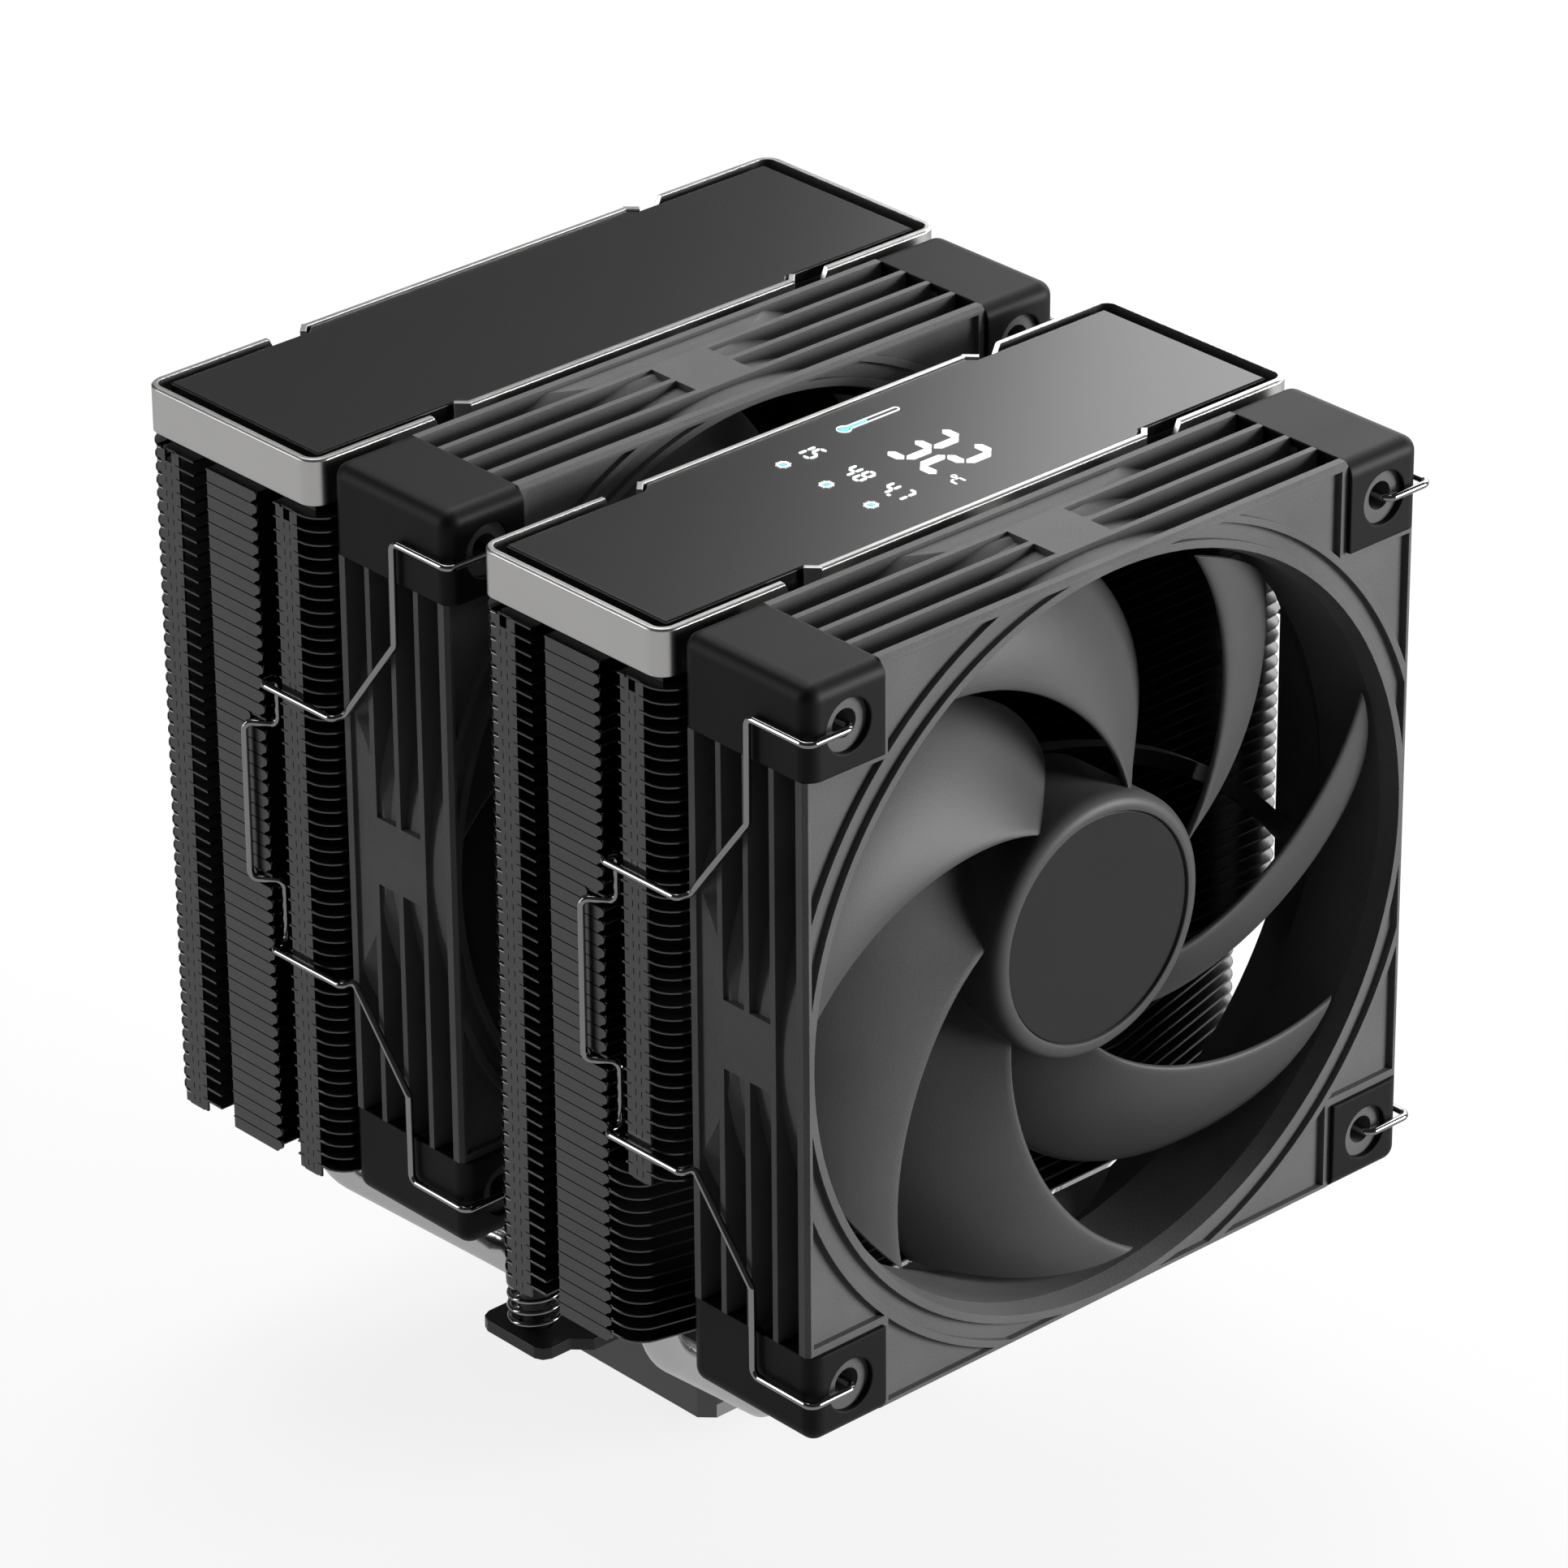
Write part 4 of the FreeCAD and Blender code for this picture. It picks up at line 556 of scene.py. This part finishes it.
# ---------------------------------------------------------------------------
# Screw springs, drawn as coils of round wire
# ---------------------------------------------------------------------------
SPRING_TURNS = 3.5
SPRING_WIRE = 0.4 * MM
SPRING_STEPS = 36
SPRING_SIDES = 10


def build_spring(hand):
    low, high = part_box(f"{hand}_screw_spring")
    middle = (low + high) / 2
    radius = (high.x - low.x) / 2 - SPRING_WIRE
    bottom, top = low.z + SPRING_WIRE, high.z - SPRING_WIRE
    steps = int(SPRING_TURNS * SPRING_STEPS)
    rings = []
    for k in range(steps + 1):
        share = k / steps
        turn = 2 * math.pi * SPRING_TURNS * share
        level = bottom + (top - bottom) * share
        outward = Vector((math.cos(turn), math.sin(turn), 0))
        centre = Vector((middle.x, middle.y, level)) + outward * radius
        ring = []
        for i in range(SPRING_SIDES):
            around = 2 * math.pi * i / SPRING_SIDES
            ring.append(centre + outward * SPRING_WIRE * math.cos(around)
                        + Vector((0, 0, SPRING_WIRE * math.sin(around))))
        rings.append(ring)
    builder = bmesh.new()
    add_ring_stack(builder, rings)
    spring = add_piece(f"{hand}_spring_visual", builder, "cooler", "spring_steel",
                       [f"{hand}_screw_spring"], SPRING_CREASE)
    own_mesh(spring)


# ---------------------------------------------------------------------------
# Stage, light and camera
# ---------------------------------------------------------------------------
CAMERA_PLACE = (-0.71984, -0.80432, 0.65445)
CAMERA_TURN = (62.523, 0.382, -42.514)
CAMERA_LENS = 186.2
CAMERA_NEAR = 0.05
CAMERA_FAR = 20.0
FLOOR_SIZE = 40.0
FLOOR_DROP = 0.0002
# The floor's shade for soft bounces, its glow in reflections, and its shade and glow for the camera.
FLOOR_BOUNCE = 0.22
FLOOR_MIRRORED = 0.55
FLOOR_PAPER = 0.14
FLOOR_LIFT = 0.84
# The room's brightness as light on the object and as the camera sees it.
ROOM_LIGHT = 0.05
ROOM_SEEN = 0.97
# Area lights: name, place, aim, width and height in metres, and brightness of the lit face.
LIGHTS = [
    ("top_softbox", (0.25, 0.45, 1.20), (0.0, 0.0, 0.10), 0.80, 0.80, 4.6),
    ("side_softbox", (1.02, -1.25, 0.28), (0.0, -0.05, 0.10), 0.80, 0.80, 20.0),
    ("plate_softbox", (0.56, 0.12, 0.40), (0.05, -0.03, 0.15), 0.62, 0.50, 3.3),
    ("back_panel", (1.20, 1.35, 1.15), (0.0, 0.0, 0.15), 2.2, 2.2, 0.12),
    ("rim_strip", (-0.9, 0.75, 0.30), (0.0, 0.0, 0.09), 0.25, 1.0, 6.5),
]


def make_floor_paper():
    """White paper that the camera sees pale, that reflections show grey, and that bounces little light."""
    material = bpy.data.materials.new("floor_paper")
    material.use_nodes = True
    tree = material.node_tree
    tree.nodes.clear()
    output = tree.nodes.new("ShaderNodeOutputMaterial")
    dim = add_node(tree, "ShaderNodeBsdfDiffuse", Color=(FLOOR_BOUNCE, FLOOR_BOUNCE, FLOOR_BOUNCE, 1))
    mirrored = add_node(tree, "ShaderNodeEmission", Color=(1, 1, 1, 1), Strength=FLOOR_MIRRORED)
    paper = add_node(tree, "ShaderNodeBsdfDiffuse", Color=(FLOOR_PAPER, FLOOR_PAPER, FLOOR_PAPER, 1))
    lift = add_node(tree, "ShaderNodeEmission", Color=(1, 1, 1, 1), Strength=FLOOR_LIFT)
    pale = tree.nodes.new("ShaderNodeAddShader")
    rays = tree.nodes.new("ShaderNodeLightPath")
    unseen = tree.nodes.new("ShaderNodeMixShader")
    chosen = tree.nodes.new("ShaderNodeMixShader")
    tree.links.new(paper.outputs[0], pale.inputs[0])
    tree.links.new(lift.outputs[0], pale.inputs[1])
    tree.links.new(rays.outputs["Is Camera Ray"], chosen.inputs[0])
    tree.links.new(rays.outputs["Is Glossy Ray"], unseen.inputs[0])
    tree.links.new(dim.outputs[0], unseen.inputs[1])
    tree.links.new(mirrored.outputs[0], unseen.inputs[2])
    tree.links.new(unseen.outputs[0], chosen.inputs[1])
    tree.links.new(pale.outputs[0], chosen.inputs[2])
    tree.links.new(chosen.outputs[0], output.inputs["Surface"])
    return material


def build_stage():
    builder = bmesh.new()
    half = FLOOR_SIZE / 2
    corners = ((-half, -half, 0), (half, -half, 0), (half, half, 0), (-half, half, 0))
    builder.faces.new([builder.verts.new(corner) for corner in corners])
    mesh = bpy.data.meshes.new("floor")
    builder.to_mesh(mesh)
    builder.free()
    floor = bpy.data.objects.new("floor", mesh)
    floor.location.z = -FLOOR_DROP
    bpy.context.scene.collection.objects.link(floor)
    mesh.materials.append(make_floor_paper())


def build_world():
    world = bpy.data.worlds.new("studio")
    world.use_nodes = True
    tree = world.node_tree
    tree.nodes.clear()
    output = tree.nodes.new("ShaderNodeOutputWorld")
    dim = add_node(tree, "ShaderNodeBackground", Color=(1, 1, 1, 1), Strength=ROOM_LIGHT)
    pale = add_node(tree, "ShaderNodeBackground", Color=(1, 1, 1, 1), Strength=ROOM_SEEN)
    rays = tree.nodes.new("ShaderNodeLightPath")
    chosen = tree.nodes.new("ShaderNodeMixShader")
    tree.links.new(rays.outputs["Is Camera Ray"], chosen.inputs[0])
    tree.links.new(dim.outputs[0], chosen.inputs[1])
    tree.links.new(pale.outputs[0], chosen.inputs[2])
    tree.links.new(chosen.outputs[0], output.inputs["Surface"])
    bpy.context.scene.world = world


def build_lights():
    for name, place, aim, width, height, brightness in LIGHTS:
        data = bpy.data.lights.new(name, "AREA")
        data.shape = "RECTANGLE"
        data.size, data.size_y = width, height
        data.energy = brightness * math.pi * width * height
        lamp = bpy.data.objects.new(name, data)
        lamp.location = place
        lamp.rotation_euler = (Vector(aim) - Vector(place)).to_track_quat("-Z", "Y").to_euler()
        lamp.visible_camera = False
        bpy.context.scene.collection.objects.link(lamp)


def build_camera():
    data = bpy.data.cameras.new("camera")
    data.lens = CAMERA_LENS
    data.clip_start = CAMERA_NEAR
    data.clip_end = CAMERA_FAR
    camera = bpy.data.objects.new("camera", data)
    camera.location = CAMERA_PLACE
    camera.rotation_euler = [math.radians(angle) for angle in CAMERA_TURN]
    bpy.context.scene.collection.objects.link(camera)
    bpy.context.scene.camera = camera


paint_nodes()
build_fin_stack("front_fin_stack", RELIEF_TOP)
build_fin_stack("rear_fin_stack", NO_RELIEF)
for fan_name in ("front_fan", "middle_fan"):
    build_rotor(fan_name)
for hand in ("left", "right"):
    build_spring(hand)
build_stage()
build_world()
build_lights()
build_camera()
bpy.context.scene.view_settings.view_transform = "Standard"
